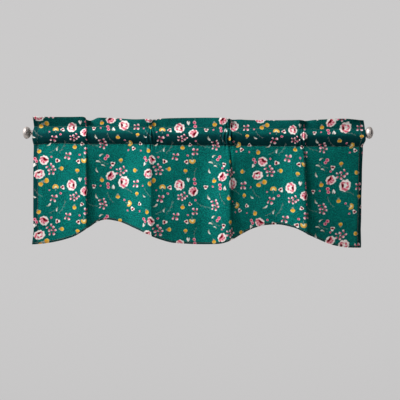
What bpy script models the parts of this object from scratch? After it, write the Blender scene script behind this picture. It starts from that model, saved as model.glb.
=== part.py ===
"""Window valance on its curtain rod, in metres with +Z up.

The origin lies on the rod's axis, halfway along it. +X runs along the rod to
the right, the front of the cloth faces -Y, and the wall is behind it at +Y.

The cloth is one panel.  Its top is turned over to the back and stitched twice:
the upper stitch line closes the standing header, which has two layers, and the
lower one, the seam, closes the open pocket that the rod runs through.  A single
layer hangs below the seam, with two shallow arches in its hem.  Four creases
run down the panel, where it was pushed together a little along the rod.
"""

import math
from typing import NamedTuple

import bmesh
import bpy
import numpy as np

MM = 0.001

# ---------------------------------------------------------------- hardware
ROD_LENGTH = 1.174
ROD_RADIUS = 0.008
ROD_SIDES = 32
FIT_GAP = 0.0003

KNOB_SIDES = 28
KNOB_NECK_RADIUS = 0.0092
KNOB_RADIUS = 0.0215
KNOB_LENGTH = 0.0275
KNOB_FLARE_LENGTH = 0.0112
KNOB_FLARE_SHARES = (0.1, 0.25, 0.5, 0.75, 1.0)
KNOB_BELLY_RADIUS = 0.0210
KNOB_BELLY_MIDDLE = 0.0138
KNOB_BELLY_HALF = 0.0153
KNOB_RIM_END = 0.0146
KNOB_FACE_ANGLES = (25, 48, 68, 82)

# ---------------------------------------------------------------- cloth
CLOTH_THICKNESS = 0.0012
FLAT_WIDTH = 1.204
HUNG_LEFT = -0.5755

POCKET_BULGE_FRONT = 0.0135
POCKET_BULGE_BACK = 0.0115
POCKET_TIP = 0.0016
POCKET_CLEARANCE = 0.0009
SKEW_RANGE = (0.35, 1.5)
SKEW_TRIES = 20

LEAD_LENGTH = 0.120
LEAD_OVERLAP = 1.15
TRAIL_LENGTH = 0.045
TRAIL_GROWTH = 0.7
BANK_FADE = 0.014
BANK_START = 0.004
BANK_DROP = 0.07
PANEL_TURN = 2.5
FULL_CREASE_DROP = 0.5
LEFT_STAND = 0.014
CREASE_STAND = 0.008
RIGHT_STAND = -0.015
LEAN_POWER = 1.15
STEP_POWER = 0.7
SWING_LINE = -0.278
SWING_BEND = 0.045
PUFF_LENGTH = 0.014
END_CURL_LENGTH = 0.030
END_CURL_LEFT = 2.0
END_CURL_RIGHT = 24.0
EDGE_REACH = 0.080

HEADER_DIP_SPREAD = 0.070
STEP_RISE = 0.026
BACK_STEP_SHARE = 0.3
PUCKER_WAVE = 0.016
PUCKER_REACH = 0.066
PUCKER_BASE = 0.55
BACK_PUCKER_SHARE = 0.7

EDGE_COLUMNS = (0.006, 0.014)
FOLD_COLUMN_REACH = 0.016
BANK_COLUMNS = (0.007, 0.015)
PANEL_STEP = 0.021
FOLD_STEP = 0.0040
FINE_STEP = 0.0005

CLOTH_SMOOTH_ANGLE = 60
ROD_SMOOTH_ANGLE = 40
KNOB_SMOOTH_ANGLE = 35


class Fold(NamedTuple):
    """A crease down the panel; lengths in mm along the flat cloth, angles in degrees.

    top and low are how much of the crease's turn shows as a step in depth, just below
    the seam and further down; the rest lies folded flat. The header's step lies
    header_shift past the crease and drops back over header_fall. In the skirt the cloth
    keeps falling back past the crease by bank degrees over bank_width, wider lower down.
    """

    at: float
    drift: float
    width: float
    low_width: float
    turn: float
    lead: float
    trail: float
    top: float
    low: float
    header_dip: float
    dip_offset: float
    header_step: float
    header_shift: float
    header_fall: float
    pocket_step: float
    pocket_fall: float
    pucker: float
    pucker_shift: float
    bank: float
    bank_width: float


FOLDS = (
    Fold(
        at=189.5, drift=1.5, width=25, low_width=30, turn=92, lead=9, trail=7,
        top=0.30, low=0.36, header_dip=11, dip_offset=17,
        header_step=7.0, header_shift=1, header_fall=14, pocket_step=6.0, pocket_fall=12,
        pucker=1.6, pucker_shift=4, bank=12, bank_width=20,
    ),
    Fold(
        at=430, drift=0, width=37, low_width=50, turn=62, lead=19, trail=9,
        top=0.35, low=0.08, header_dip=3, dip_offset=10,
        header_step=5.0, header_shift=-9, header_fall=9, pocket_step=2.5, pocket_fall=5,
        pucker=2.6, pucker_shift=0, bank=1.5, bank_width=40,
    ),
    Fold(
        at=719, drift=5, width=20, low_width=34, turn=84, lead=20, trail=6,
        top=0.45, low=0.45, header_dip=3, dip_offset=10,
        header_step=9.0, header_shift=-11, header_fall=14, pocket_step=3.0, pocket_fall=5,
        pucker=2.8, pucker_shift=-14, bank=12, bank_width=22,
    ),
    Fold(
        at=987, drift=17, width=23, low_width=40, turn=83, lead=17, trail=6,
        top=0.35, low=0.50, header_dip=2, dip_offset=10,
        header_step=7.0, header_shift=-20, header_fall=22, pocket_step=3.0, pocket_fall=5,
        pucker=2.2, pucker_shift=-9, bank=5, bank_width=22,
    ),
)


class Station(NamedTuple):
    """Heights in mm of the header's top edge, the upper stitch line and the seam."""

    x: float
    header: float
    stitch: float
    seam: float


STATIONS = (
    Station(x=-576, header=54, stitch=22, seam=-42),
    Station(x=-495, header=54, stitch=22, seam=-36),
    Station(x=-400, header=54, stitch=22, seam=-39),
    Station(x=-300, header=52, stitch=21, seam=-38.5),
    Station(x=-210, header=47, stitch=20, seam=-39),
    Station(x=-150, header=49, stitch=19.5, seam=-41),
    Station(x=-90, header=51.5, stitch=19, seam=-43),
    Station(x=20, header=53.5, stitch=18, seam=-44),
    Station(x=115, header=50, stitch=16.5, seam=-44.5),
    Station(x=200, header=45, stitch=15.5, seam=-45.5),
    Station(x=370, header=44, stitch=12.5, seam=-47.5),
    Station(x=512, header=48.5, stitch=12.5, seam=-47.5),
    Station(x=583, header=45, stitch=12.5, seam=-49),
)


class Lean(NamedTuple):
    """How far the header leans forward and the skirt puffs out below the seam, in mm.

    swing is how steeply the skirt's bottom swings back to the window.
    """

    x: float
    header: float
    puff: float
    swing: float


LEANS = (
    Lean(x=-576, header=12, puff=0, swing=0.16),
    Lean(x=-440, header=11, puff=0, swing=0.13),
    Lean(x=-402, header=14, puff=0, swing=0.12),
    Lean(x=-388, header=5, puff=2, swing=0.16),
    Lean(x=-376, header=-5, puff=3, swing=0.16),
    Lean(x=-340, header=6, puff=3, swing=0.16),
    Lean(x=-300, header=1, puff=3, swing=0.16),
    Lean(x=-210, header=1, puff=3, swing=0.2),
    Lean(x=-150, header=0, puff=6, swing=0.24),
    Lean(x=-105, header=4, puff=6, swing=0.24),
    Lean(x=20, header=2, puff=5, swing=0.22),
    Lean(x=80, header=3, puff=2, swing=0.24),
    Lean(x=112, header=-6, puff=2, swing=0.24),
    Lean(x=124, header=-10, puff=5, swing=0.24),
    Lean(x=180, header=-3, puff=6, swing=0.24),
    Lean(x=225, header=0, puff=5, swing=0.24),
    Lean(x=350, header=0, puff=4, swing=0.24),
    Lean(x=374, header=-6, puff=4, swing=0.24),
    Lean(x=422, header=6, puff=4, swing=0.24),
    Lean(x=445, header=10, puff=4, swing=0.24),
    Lean(x=470, header=16, puff=4, swing=0.24),
    Lean(x=500, header=20, puff=4, swing=0.24),
    Lean(x=525, header=19, puff=3, swing=0.24),
    Lean(x=550, header=13, puff=2, swing=0.24),
    Lean(x=583, header=0, puff=0, swing=0.24),
)


class HemPoint(NamedTuple):
    """A point of the bottom edge, in mm."""

    x: float
    z: float


HEM = (
    HemPoint(x=-583, z=-392),
    HemPoint(x=-528, z=-387),
    HemPoint(x=-445, z=-367),
    HemPoint(x=-378, z=-329),
    HemPoint(x=-353, z=-312),
    HemPoint(x=-324, z=-304.5),
    HemPoint(x=-282, z=-311),
    HemPoint(x=-226, z=-334),
    HemPoint(x=-130, z=-376),
    HemPoint(x=-85, z=-387.5),
    HemPoint(x=20, z=-392.5),
    HemPoint(x=70, z=-391),
    HemPoint(x=111, z=-380.5),
    HemPoint(x=158, z=-354),
    HemPoint(x=196, z=-335),
    HemPoint(x=240, z=-324),
    HemPoint(x=278, z=-322),
    HemPoint(x=333, z=-332),
    HemPoint(x=400, z=-363),
    HemPoint(x=489, z=-398),
    HemPoint(x=534, z=-404.5),
    HemPoint(x=572, z=-405.5),
)


class Row(NamedTuple):
    """One level of the cloth mesh: its zone, its share of the zone's depth, how far creases stand."""

    zone: str
    share: float
    crease: float


ROWS = (
    Row(zone="header", share=0.0, crease=0.75),
    Row(zone="header", share=0.5, crease=0.35),
    Row(zone="pocket", share=0.0, crease=0.0),
    Row(zone="pocket", share=0.10, crease=0.0),
    Row(zone="pocket", share=0.24, crease=0.0),
    Row(zone="pocket", share=0.40, crease=0.0),
    Row(zone="pocket", share=0.60, crease=0.0),
    Row(zone="pocket", share=0.82, crease=0.0),
    Row(zone="skirt", share=0.0, crease=0.2),
    Row(zone="skirt", share=0.035, crease=0.3),
    Row(zone="skirt", share=0.12, crease=0.6),
    Row(zone="skirt", share=0.28, crease=0.95),
    Row(zone="skirt", share=0.52, crease=1.0),
    Row(zone="skirt", share=0.77, crease=0.95),
    Row(zone="skirt", share=0.9, crease=0.92),
    Row(zone="skirt", share=1.0, crease=0.9),
)
FIRST_POCKET_ROW = next(i for i, row in enumerate(ROWS) if row.zone == "pocket")
SEAM_ROW = next(i for i, row in enumerate(ROWS) if row.zone == "skirt")


class EdgeShift(NamedTuple):
    """How far the two side edges stand out of line at a height; mm, + to the right."""

    z: float
    left: float
    right: float


EDGE_SHIFTS = (
    EdgeShift(z=55, left=0, right=0.5),
    EdgeShift(z=30, left=0, right=2),
    EdgeShift(z=20, left=0, right=2.5),
    EdgeShift(z=0, left=-3.5, right=3.3),
    EdgeShift(z=-25, left=-3.5, right=3.5),
    EdgeShift(z=-46, left=-0.5, right=-4),
    EdgeShift(z=-60, left=-0.4, right=-3),
    EdgeShift(z=-147, left=0, right=-3),
    EdgeShift(z=-241, left=0, right=-4.8),
    EdgeShift(z=-335, left=0, right=-4.5),
    EdgeShift(z=-405, left=-8, right=-0.5),
)

# ---------------------------------------------------------------- colours
CLOTH_GREEN = (0.004, 0.142, 0.112, 1.0)
BRUSHED_NICKEL = (0.56, 0.53, 0.50, 1.0)


def clear_scene():
    """Remove every object from the scene."""
    for item in list(bpy.data.objects):
        bpy.data.objects.remove(item, do_unlink=True)


def material(name, colour, roughness, metallic):
    """Make a plain Principled material."""
    finish = bpy.data.materials.new(name)
    finish.use_nodes = True
    shader = finish.node_tree.nodes["Principled BSDF"]
    shader.inputs["Base Color"].default_value = colour
    shader.inputs["Roughness"].default_value = roughness
    shader.inputs["Metallic"].default_value = metallic
    finish.diffuse_color = colour
    return finish


def add_object(name, mesh_data, finish, smooth_angle):
    """Link a bmesh as a named object, shaded smooth up to an angle."""
    mesh = bpy.data.meshes.new(name)
    mesh_data.to_mesh(mesh)
    mesh_data.free()
    mesh.materials.append(finish)
    mesh.shade_smooth()
    mesh.set_sharp_from_angle(angle=math.radians(smooth_angle))
    item = bpy.data.objects.new(name, mesh)
    bpy.context.scene.collection.objects.link(item)
    return item


def smooth_curve(xs, ys, x):
    """Read a curve through points that never overshoots them; x may be an array."""
    xs = np.asarray(xs, float)
    ys = np.asarray(ys, float)
    steps = np.diff(xs)
    slopes = np.diff(ys) / steps
    tangents = np.zeros_like(ys)
    same_way = slopes[:-1] * slopes[1:] > 0
    inner = np.zeros(len(same_way))
    pair = slopes[:-1][same_way], slopes[1:][same_way]
    inner[same_way] = 2 * pair[0] * pair[1] / (pair[0] + pair[1])
    tangents[1:-1] = inner
    x = np.clip(x, xs[0], xs[-1])
    cell = np.clip(np.searchsorted(xs, x) - 1, 0, len(steps) - 1)
    t = (x - xs[cell]) / steps[cell]
    ends = (2 * t**3 - 3 * t**2 + 1) * ys[cell] + (3 * t**2 - 2 * t**3) * ys[cell + 1]
    bends = (t**3 - 2 * t**2 + t) * tangents[cell] + (t**3 - t**2) * tangents[cell + 1]
    return ends + steps[cell] * bends


def fold_centres(drop):
    """Flat places of the creases at a share of the skirt's depth, in metres."""
    return np.array([(fold.at + fold.drift * drop) * MM for fold in FOLDS])


def pulse(distance, width):
    """A soft hump of height 1 over a width."""
    inside = np.abs(distance) < width / 2
    return np.where(inside, 0.5 + 0.5 * np.cos(2 * np.pi * distance / width), 0.0)


def soft_step(value):
    """A soft step from 0 at 0 to 1 at 1."""
    value = np.clip(value, 0, 1)
    return value * value * (3 - 2 * value)


def crease_headings(flat, drop):
    """The cloth's heading from above, in radians: smooth part, banks, and each crease's part."""
    centres = fold_centres(drop)
    corners = np.concatenate(([0.0], centres, [FLAT_WIDTH]))
    share = np.interp(flat, corners, np.arange(len(corners))) % 1
    smooth = np.radians(PANEL_TURN) * (1 - 2 * share)
    smooth += np.radians(END_CURL_LEFT) * pulse(flat, 2 * END_CURL_LENGTH)
    smooth += np.radians(END_CURL_RIGHT) * pulse(flat - FLAT_WIDTH, 2 * END_CURL_LENGTH)
    banks = np.zeros_like(flat)
    creases = []
    for fold, centre in zip(FOLDS, centres):
        width = fold.width + (fold.low_width - fold.width) * drop
        past = flat - centre
        hump = pulse(past, width * MM)
        smooth -= np.radians(fold.lead) * pulse(past + LEAD_LENGTH / 2, LEAD_OVERLAP * LEAD_LENGTH)
        fall = np.where(past > 0, np.exp(-np.maximum(past, 0) / TRAIL_LENGTH), 0)
        smooth += np.radians(fold.trail) * (1 + TRAIL_GROWTH * drop) * fall * (1 - hump)
        reach = past - fold.bank_width * MM * (0.5 + drop)
        bank = (1 - soft_step(reach / BANK_FADE)) * soft_step(past / BANK_START)
        banks += np.radians(fold.bank) * (0.75 + 0.5 * drop) * soft_step(drop / BANK_DROP) * bank
        creases.append(np.radians(fold.turn) * math.sqrt(fold.width / width) * hump)
    return smooth, banks, creases


def plan_curve(drop):
    """Follow the cloth from above: flat place, x and crease depth y, at a share of the depth.

    The cloth comes forward towards each crease, turns back sharply, and levels out again.
    A crease that is weak near the seam takes up as much cloth there, in small puckers.
    """
    flat = np.arange(0.0, FLAT_WIDTH + FINE_STEP / 2, FINE_STEP)
    smooth, banks, creases = crease_headings(flat, drop)
    grown = min(1.0, drop / FULL_CREASE_DROP)
    weaker = [
        crease * (fold.top + (fold.low - fold.top) * grown) for fold, crease in zip(FOLDS, creases)
    ]
    across = np.cos(smooth + sum(creases)) * FINE_STEP
    back = np.sin(smooth + banks + sum(weaker)) * FINE_STEP
    x = HUNG_LEFT + np.concatenate(([0], np.cumsum(across[:-1])))
    y = np.concatenate(([0], np.cumsum(back[:-1])))
    ends = END_CURL_LENGTH, FLAT_WIDTH - END_CURL_LENGTH
    anchors = np.concatenate((ends[:1], fold_centres(drop), ends[1:]))
    stands = [LEFT_STAND] + [CREASE_STAND] * len(FOLDS) + [RIGHT_STAND]
    y -= np.interp(flat, anchors, np.interp(anchors, flat, y) + stands)
    return flat, x, y


def column_places():
    """Flat places of the mesh's columns at the header: close at creases and ends."""
    marks = [0.0, *EDGE_COLUMNS, END_CURL_LENGTH]
    for fold in FOLDS:
        half = max(FOLD_COLUMN_REACH, fold.width * MM / 2)
        count = int(round(2 * half / FOLD_STEP))
        fine = np.linspace(fold.at * MM - half, fold.at * MM + half, count + 1)
        run = fine[0] - marks[-1]
        steps = int(round(run / PANEL_STEP))
        marks.extend(np.linspace(marks[-1], fine[0], steps + 1)[1:-1])
        marks.extend(fine)
        marks.extend(fine[-1] + beyond for beyond in BANK_COLUMNS)
    last = FLAT_WIDTH - END_CURL_LENGTH
    steps = int(round((last - marks[-1]) / PANEL_STEP))
    marks.extend(np.linspace(marks[-1], last, steps + 1)[1:])
    marks.extend(FLAT_WIDTH - mark for mark in (*reversed(EDGE_COLUMNS), 0.0))
    return np.array(marks)


def column_drift(columns, drop):
    """Let the columns follow the creases, which drift sideways on their way down."""
    centres = fold_centres(0.0)
    moves = fold_centres(drop) - centres
    places = np.concatenate(([0.0], centres, [FLAT_WIDTH]))
    shifts = np.concatenate(([0.0], moves, [0.0]))
    return columns + np.interp(columns, places, shifts)


class Section(NamedTuple):
    """What shapes the cloth in section at one column: heights, leans and swells, in metres."""

    header: float
    stitch: float
    seam: float
    hem: float
    lean: float
    puff: float
    swing: float
    header_step: float
    pocket_step: float
    pucker: float


def cross_sections(x, low_x, flat):
    """The cloth's section at each column, from its x at the header and at the hem."""
    xs = [s.x for s in STATIONS]
    header = smooth_curve(xs, [s.header for s in STATIONS], x / MM) * MM
    stitch = smooth_curve(xs, [s.stitch for s in STATIONS], x / MM) * MM
    seam = smooth_curve(xs, [s.seam for s in STATIONS], x / MM) * MM
    for fold, centre in zip(FOLDS, fold_centres(0.0)):
        past = flat - centre - fold.dip_offset * MM
        header -= fold.header_dip * MM * pulse(past, HEADER_DIP_SPREAD)
    hem = smooth_curve([p.x for p in HEM], [p.z for p in HEM], low_x / MM) * MM
    leans = [lean.x for lean in LEANS]
    lean = smooth_curve(leans, [lean.header for lean in LEANS], x / MM) * MM
    puff = smooth_curve(leans, [lean.puff for lean in LEANS], x / MM) * MM
    swing = smooth_curve(leans, [lean.swing for lean in LEANS], x / MM)
    header_step = fold_steps(flat, [(f.header_step, f.header_shift, f.header_fall) for f in FOLDS])
    pocket_step = fold_steps(flat, [(f.pocket_step, 0.0, f.pocket_fall) for f in FOLDS])
    values = header, stitch, seam, hem, lean, puff, swing, header_step, pocket_step, puckers(flat)
    return [Section(*column) for column in zip(*values)]


def fold_steps(places, steps):
    """How far the cloth stands out before each crease; steps are (size, shift, fall) in mm."""
    out = np.zeros_like(places)
    for (size, shift, length), centre in zip(steps, fold_centres(0.0)):
        past = places - centre - shift * MM
        rise = np.exp(np.minimum(past, 0) / STEP_RISE)
        out += size * MM * rise * (1 - soft_step(past / (length * MM)))
    return out


def pocket_side(stitch, seam, bulge, skew):
    """One wall of the pocket in section: distance from the rod's plane, and height, by row."""
    shares = np.array([row.share for row in ROWS[FIRST_POCKET_ROW:SEAM_ROW]] + [1.0])
    out = CLOTH_THICKNESS / 2 + bulge * np.sin(np.pi * shares**skew)
    height = stitch + (seam - stitch) * shares
    return out, height


def wall_normals(out, height):
    """Unit normals of a wall in section, pointing away from the rod."""
    along_out = np.gradient(out)
    along_height = np.gradient(height)
    length = np.hypot(along_out, along_height)
    return -along_height / length, along_out / length


def inner_wall(out, height, stitch, seam):
    """The wall's inner line, from tip to tip."""
    normal_out, normal_height = wall_normals(out, height)
    inner_out = out - normal_out * CLOTH_THICKNESS / 2
    inner_height = height - normal_height * CLOTH_THICKNESS / 2
    inner_out[0] = inner_out[-1] = 0.0
    inner_height[0] = stitch - POCKET_TIP
    inner_height[-1] = seam + POCKET_TIP
    return inner_out, inner_height


def least_reach(out, height):
    """Least distance from the rod's axis to a polyline."""
    points = np.stack([out, height], axis=1)
    runs = np.diff(points, axis=0)
    along = -(points[:-1] * runs).sum(axis=1) / (runs**2).sum(axis=1)
    nearest = points[:-1] + runs * np.clip(along, 0, 1)[:, None]
    return np.hypot(nearest[:, 0], nearest[:, 1]).min()


def hung_wall(stitch, seam, bulge):
    """A pocket wall that hangs down as far as the rod lets it: it just clears the rod."""
    loose, tight = SKEW_RANGE
    for _ in range(SKEW_TRIES):
        skew = (tight + loose) / 2
        out, height = pocket_side(stitch, seam, bulge, skew)
        if least_reach(*inner_wall(out, height, stitch, seam)) > ROD_RADIUS + POCKET_CLEARANCE:
            loose = skew
        else:
            tight = skew
    return pocket_side(stitch, seam, bulge, loose)


def cloth_levels(columns):
    """Plan points, normals and flat places of every row of the cloth."""
    levels = []
    for row in ROWS:
        drop = row.share if row.zone == "skirt" else 0.0
        flat, x, y = plan_curve(drop)
        places = column_drift(columns, drop)
        plan_x = np.interp(places, flat, x)
        plan_y = np.interp(places, flat, y) * row.crease
        run_x = np.interp(places, flat, np.gradient(x))
        run_y = np.interp(places, flat, np.gradient(y)) * row.crease
        length = np.hypot(run_x, run_y)
        levels.append((plan_x, plan_y, run_y / length, -run_x / length, places))
    return levels


def edge_shift(places, z):
    """Sideways shift of the cloth near its two side edges."""
    zs = [-shift.z for shift in EDGE_SHIFTS]
    left = smooth_curve(zs, [shift.left for shift in EDGE_SHIFTS], -z / MM) * MM
    right = smooth_curve(zs, [shift.right for shift in EDGE_SHIFTS], -z / MM) * MM
    near_left = np.clip(1 - places / EDGE_REACH, 0, 1) ** 2
    near_right = np.clip(1 - (FLAT_WIDTH - places) / EDGE_REACH, 0, 1) ** 2
    return left * near_left + right * near_right


def puckers(places):
    """How far the gathered pocket walls stand out at the creases."""
    out = np.zeros_like(places)
    for fold, centre in zip(FOLDS, fold_centres(0.0)):
        past = places - centre
        ripple = PUCKER_BASE + (1 - PUCKER_BASE) * np.cos(2 * np.pi * past / PUCKER_WAVE)
        out += fold.pucker * MM * pulse(past - fold.pucker_shift * MM, PUCKER_REACH) * ripple
    return out


def skirt_forward(section, z):
    """How far the skirt stands in front of the rod's plane at a height."""
    below = max(SWING_LINE - z, 0.0)
    bend = below**2 / (2 * SWING_BEND) if below < SWING_BEND else below - SWING_BEND / 2
    return section.puff * (1 - math.exp((z - section.seam) / PUFF_LENGTH)) - section.swing * bend


def section_lines(section):
    """Outer front, outer back and the two inner lines of the cloth in one section.

    Each line is a list of triples: distance from the pocket's middle square to the cloth,
    height, and how far that middle stands forward of the rod.
    """
    half = CLOTH_THICKNESS / 2
    front_out, heights = hung_wall(section.stitch, section.seam, POCKET_BULGE_FRONT)
    back_out, _ = hung_wall(section.stitch, section.seam, POCKET_BULGE_BACK)
    rise = np.sin(np.pi * np.linspace(0, 1, len(front_out)))
    front_out = front_out + rise * (section.pucker + section.pocket_step)
    back_out = back_out + rise * section.pucker * BACK_PUCKER_SHARE
    back_out = back_out + rise * section.pocket_step * BACK_STEP_SHARE
    lines = []
    for out in (front_out, back_out):
        normal_out, normal_height = wall_normals(out, heights)
        outer = [
            (*pair, 0.0) for pair in zip(out + normal_out * half, heights + normal_height * half)
        ]
        inner = [(*pair, 0.0) for pair in zip(*inner_wall(out, heights, section.stitch, section.seam))]
        lines.append((outer, inner))
    (front, front_inner), (back, back_inner) = lines
    top = []
    for row in ROWS[:FIRST_POCKET_ROW]:
        z = section.header + (section.stitch - section.header) * row.share
        forward = section.lean * (1 - row.share) ** LEAN_POWER
        forward += section.header_step * (1 - row.share) ** STEP_POWER
        top.append((CLOTH_THICKNESS, z, forward))
    depth = section.hem - section.seam
    skirt_heights = [section.seam + depth * row.share for row in ROWS[SEAM_ROW + 1:]]
    skirt = [(half, z, skirt_forward(section, z)) for z in skirt_heights]
    front[0] = back[0] = (CLOTH_THICKNESS, section.stitch, 0.0)
    front[-1] = back[-1] = (CLOTH_THICKNESS, section.seam, 0.0)
    outer_front = top + front + skirt
    outer_back = [(-out, z, forward) for out, z, forward in top + back + skirt]
    back_inner = [(-out, z, forward) for out, z, forward in back_inner]
    return outer_front, outer_back, front_inner, back_inner


def build_cloth():
    """Build the valance cloth as one closed sheet with an open rod pocket."""
    columns = column_places()
    levels = cloth_levels(columns)
    sections = cross_sections(levels[FIRST_POCKET_ROW][0], levels[-1][0], columns)
    mesh_data = bmesh.new()

    def place(row, column, out, z, forward):
        plan_x, plan_y, normal_x, normal_y, places = (values[column] for values in levels[row])
        x = plan_x + normal_x * out + edge_shift(places, z)
        return mesh_data.verts.new((x, plan_y + normal_y * out - forward, z))

    fronts, backs, inner_fronts, inner_backs = [], [], [], []
    last_row = len(ROWS) - 1
    for column in range(len(columns)):
        outer_front, outer_back, front_inner, back_inner = section_lines(sections[column])
        fronts.append([place(r, column, *outer_front[r]) for r in range(last_row + 1)])
        backs.append([place(r, column, *outer_back[r]) for r in range(last_row + 1)])
        inner_rows = range(FIRST_POCKET_ROW, SEAM_ROW + 1)
        walls = []
        for wall in (front_inner, back_inner):
            pairs = list(zip(inner_rows, wall))[1:-1]
            walls.append([place(r, column, *pair) for r, pair in pairs])
        top_tip = place(FIRST_POCKET_ROW, column, *front_inner[0])
        low_tip = place(SEAM_ROW, column, *front_inner[-1])
        inner_fronts.append([top_tip] + walls[0] + [low_tip])
        inner_backs.append([top_tip] + walls[1] + [low_tip])

    def band(one, other):
        count = len(one)
        for k in range(count):
            n = (k + 1) % count
            mesh_data.faces.new((one[k], one[n], other[n], other[k]))

    for left in range(len(columns) - 1):
        right = left + 1
        outer_left = fronts[left] + backs[left][::-1]
        outer_right = fronts[right] + backs[right][::-1]
        band(outer_left, outer_right)
        inner_left = inner_fronts[left] + inner_backs[left][-2:0:-1]
        inner_right = inner_fronts[right] + inner_backs[right][-2:0:-1]
        band(inner_right, inner_left)

    for side, flip in ((0, False), (-1, True)):
        front, back = fronts[side], backs[side]
        inner_front, inner_back = inner_fronts[side], inner_backs[side]
        loops = []
        for r in range(last_row):
            if r < FIRST_POCKET_ROW - 1 or r > SEAM_ROW:
                loops.append((front[r], back[r], back[r + 1], front[r + 1]))
            elif r == FIRST_POCKET_ROW - 1:
                loops.append((front[r], back[r], back[r + 1], inner_front[0], front[r + 1]))
            elif r == SEAM_ROW:
                loops.append((front[r], inner_front[-1], back[r], back[r + 1], front[r + 1]))
            else:
                k = r - FIRST_POCKET_ROW
                loops.append((front[r], inner_front[k], inner_front[k + 1], front[r + 1]))
                loops.append((inner_back[k], back[r], back[r + 1], inner_back[k + 1]))
        for loop in loops:
            mesh_data.faces.new(loop[::-1] if flip else loop)

    bmesh.ops.recalc_face_normals(mesh_data, faces=mesh_data.faces)
    finish = material("printed_green_cloth", CLOTH_GREEN, 0.8, 0.0)
    return add_object("valance_cloth", mesh_data, finish, CLOTH_SMOOTH_ANGLE)


def turned_along_x(stations, sides):
    """Turn a profile of (x, radius) pairs about the X axis; its ends lie on the axis."""
    mesh_data = bmesh.new()
    rings = []
    for x, radius in stations[1:-1]:
        ring = []
        for k in range(sides):
            angle = 2 * math.pi * k / sides
            point = (x, radius * math.cos(angle), radius * math.sin(angle))
            ring.append(mesh_data.verts.new(point))
        rings.append(ring)
    start = mesh_data.verts.new((stations[0][0], 0, 0))
    end = mesh_data.verts.new((stations[-1][0], 0, 0))
    for k in range(sides):
        n = (k + 1) % sides
        mesh_data.faces.new((start, rings[0][n], rings[0][k]))
        mesh_data.faces.new((end, rings[-1][k], rings[-1][n]))
        for one, other in zip(rings, rings[1:]):
            mesh_data.faces.new((one[k], one[n], other[n], other[k]))
    bmesh.ops.recalc_face_normals(mesh_data, faces=mesh_data.faces)
    return mesh_data


def build_rod(finish):
    """Build the plain round rod."""
    end = ROD_LENGTH / 2
    profile = [(-end, 0), (-end, ROD_RADIUS), (end, ROD_RADIUS), (end, 0)]
    return add_object("rod", turned_along_x(profile, ROD_SIDES), finish, ROD_SMOOTH_ANGLE)


def knob_profile():
    """Profile of an end knob, from its neck at 0 outwards: flare, rim and domed face."""
    profile = [(0, 0), (0, KNOB_NECK_RADIUS)]
    for share in KNOB_FLARE_SHARES:
        x = KNOB_FLARE_LENGTH * share
        across = (x - KNOB_BELLY_MIDDLE) / KNOB_BELLY_HALF
        profile.append((x, KNOB_BELLY_RADIUS * math.sqrt(1 - across**2)))
    profile.append((KNOB_RIM_END, KNOB_RADIUS))
    for degrees in KNOB_FACE_ANGLES:
        turn = math.radians(degrees)
        x = KNOB_RIM_END + (KNOB_LENGTH - KNOB_RIM_END) * math.sin(turn)
        profile.append((x, KNOB_RADIUS * math.cos(turn)))
    profile.append((KNOB_LENGTH, 0))
    return profile


def build_knobs(finish):
    """Build the two end knobs, mirror images of each other."""
    start = ROD_LENGTH / 2 + FIT_GAP
    for name, side in (("finial_left", -1), ("finial_right", 1)):
        stations = [(side * (start + x), radius) for x, radius in knob_profile()]
        add_object(name, turned_along_x(stations, KNOB_SIDES), finish, KNOB_SMOOTH_ANGLE)


def main():
    """Build every sub-part."""
    clear_scene()
    nickel = material("brushed_nickel", BRUSHED_NICKEL, 0.35, 1.0)
    build_cloth()
    build_rod(nickel)
    build_knobs(nickel)


main()
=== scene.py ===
"""Looks of a printed window valance on its curtain rod.

The cloth is one panel, followed as it hangs: a two-layer header, an open pocket
round the rod, and a skirt with two shallow arches.  Its print lies in the cloth's
own flat coordinates, so the flowers bend with every crease.
"""

from __future__ import annotations

import logging
import math
from collections.abc import Iterable, Sequence
from dataclasses import dataclass, field
from enum import Enum

import bpy
import numpy as np
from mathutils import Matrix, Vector, noise

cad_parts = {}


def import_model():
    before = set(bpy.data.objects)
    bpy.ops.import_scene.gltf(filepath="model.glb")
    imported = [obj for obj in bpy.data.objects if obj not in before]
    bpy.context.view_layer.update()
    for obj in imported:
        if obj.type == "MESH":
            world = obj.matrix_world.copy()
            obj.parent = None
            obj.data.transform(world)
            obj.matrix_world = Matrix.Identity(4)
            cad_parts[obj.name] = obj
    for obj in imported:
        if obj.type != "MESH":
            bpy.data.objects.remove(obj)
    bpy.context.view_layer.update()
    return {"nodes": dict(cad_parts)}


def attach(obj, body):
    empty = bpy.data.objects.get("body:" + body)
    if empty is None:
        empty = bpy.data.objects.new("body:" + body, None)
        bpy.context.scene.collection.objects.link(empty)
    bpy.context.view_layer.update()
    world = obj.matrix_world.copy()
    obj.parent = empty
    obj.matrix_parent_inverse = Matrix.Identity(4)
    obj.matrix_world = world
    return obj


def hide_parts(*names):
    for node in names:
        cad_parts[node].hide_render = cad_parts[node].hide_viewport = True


LOG = logging.getLogger("valance")
BODY = "root"
MM = 0.001
TURN = 2 * math.pi
Array = np.ndarray
Lines = dict[str, Array]
Piece = bpy.types.Object
Material = bpy.types.Material
Group = bpy.types.NodeTree
Socket = bpy.types.NodeSocket
Number = float | Socket
Drawn = tuple[Socket, Socket]
Colour = tuple[float, float, float, float]
FLAT_MAP = "flat_cloth"
BAKE_MAP = "OFBake"
REVERSE = "reverse_side"
# Corner attribute of the painted shade: how much darker the cloth is painted where it lies in two layers
# or more.
PAINTED_SHADE = "more_layers"


def tint(red: int, green: int, blue: int) -> Colour:
    """Turn a screen colour into the linear colour that shaders use.

    Args:
        red: Red from 0 to 255.
        green: Green from 0 to 255.
        blue: Blue from 0 to 255.

    Returns:
        The linear colour with full alpha.
    """
    channels = [value / 255 for value in (red, green, blue)]
    linear = [c / 12.92 if c <= 0.04045 else ((c + 0.055) / 1.055) ** 2.4 for c in channels]
    return (linear[0], linear[1], linear[2], 1.0)


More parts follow.
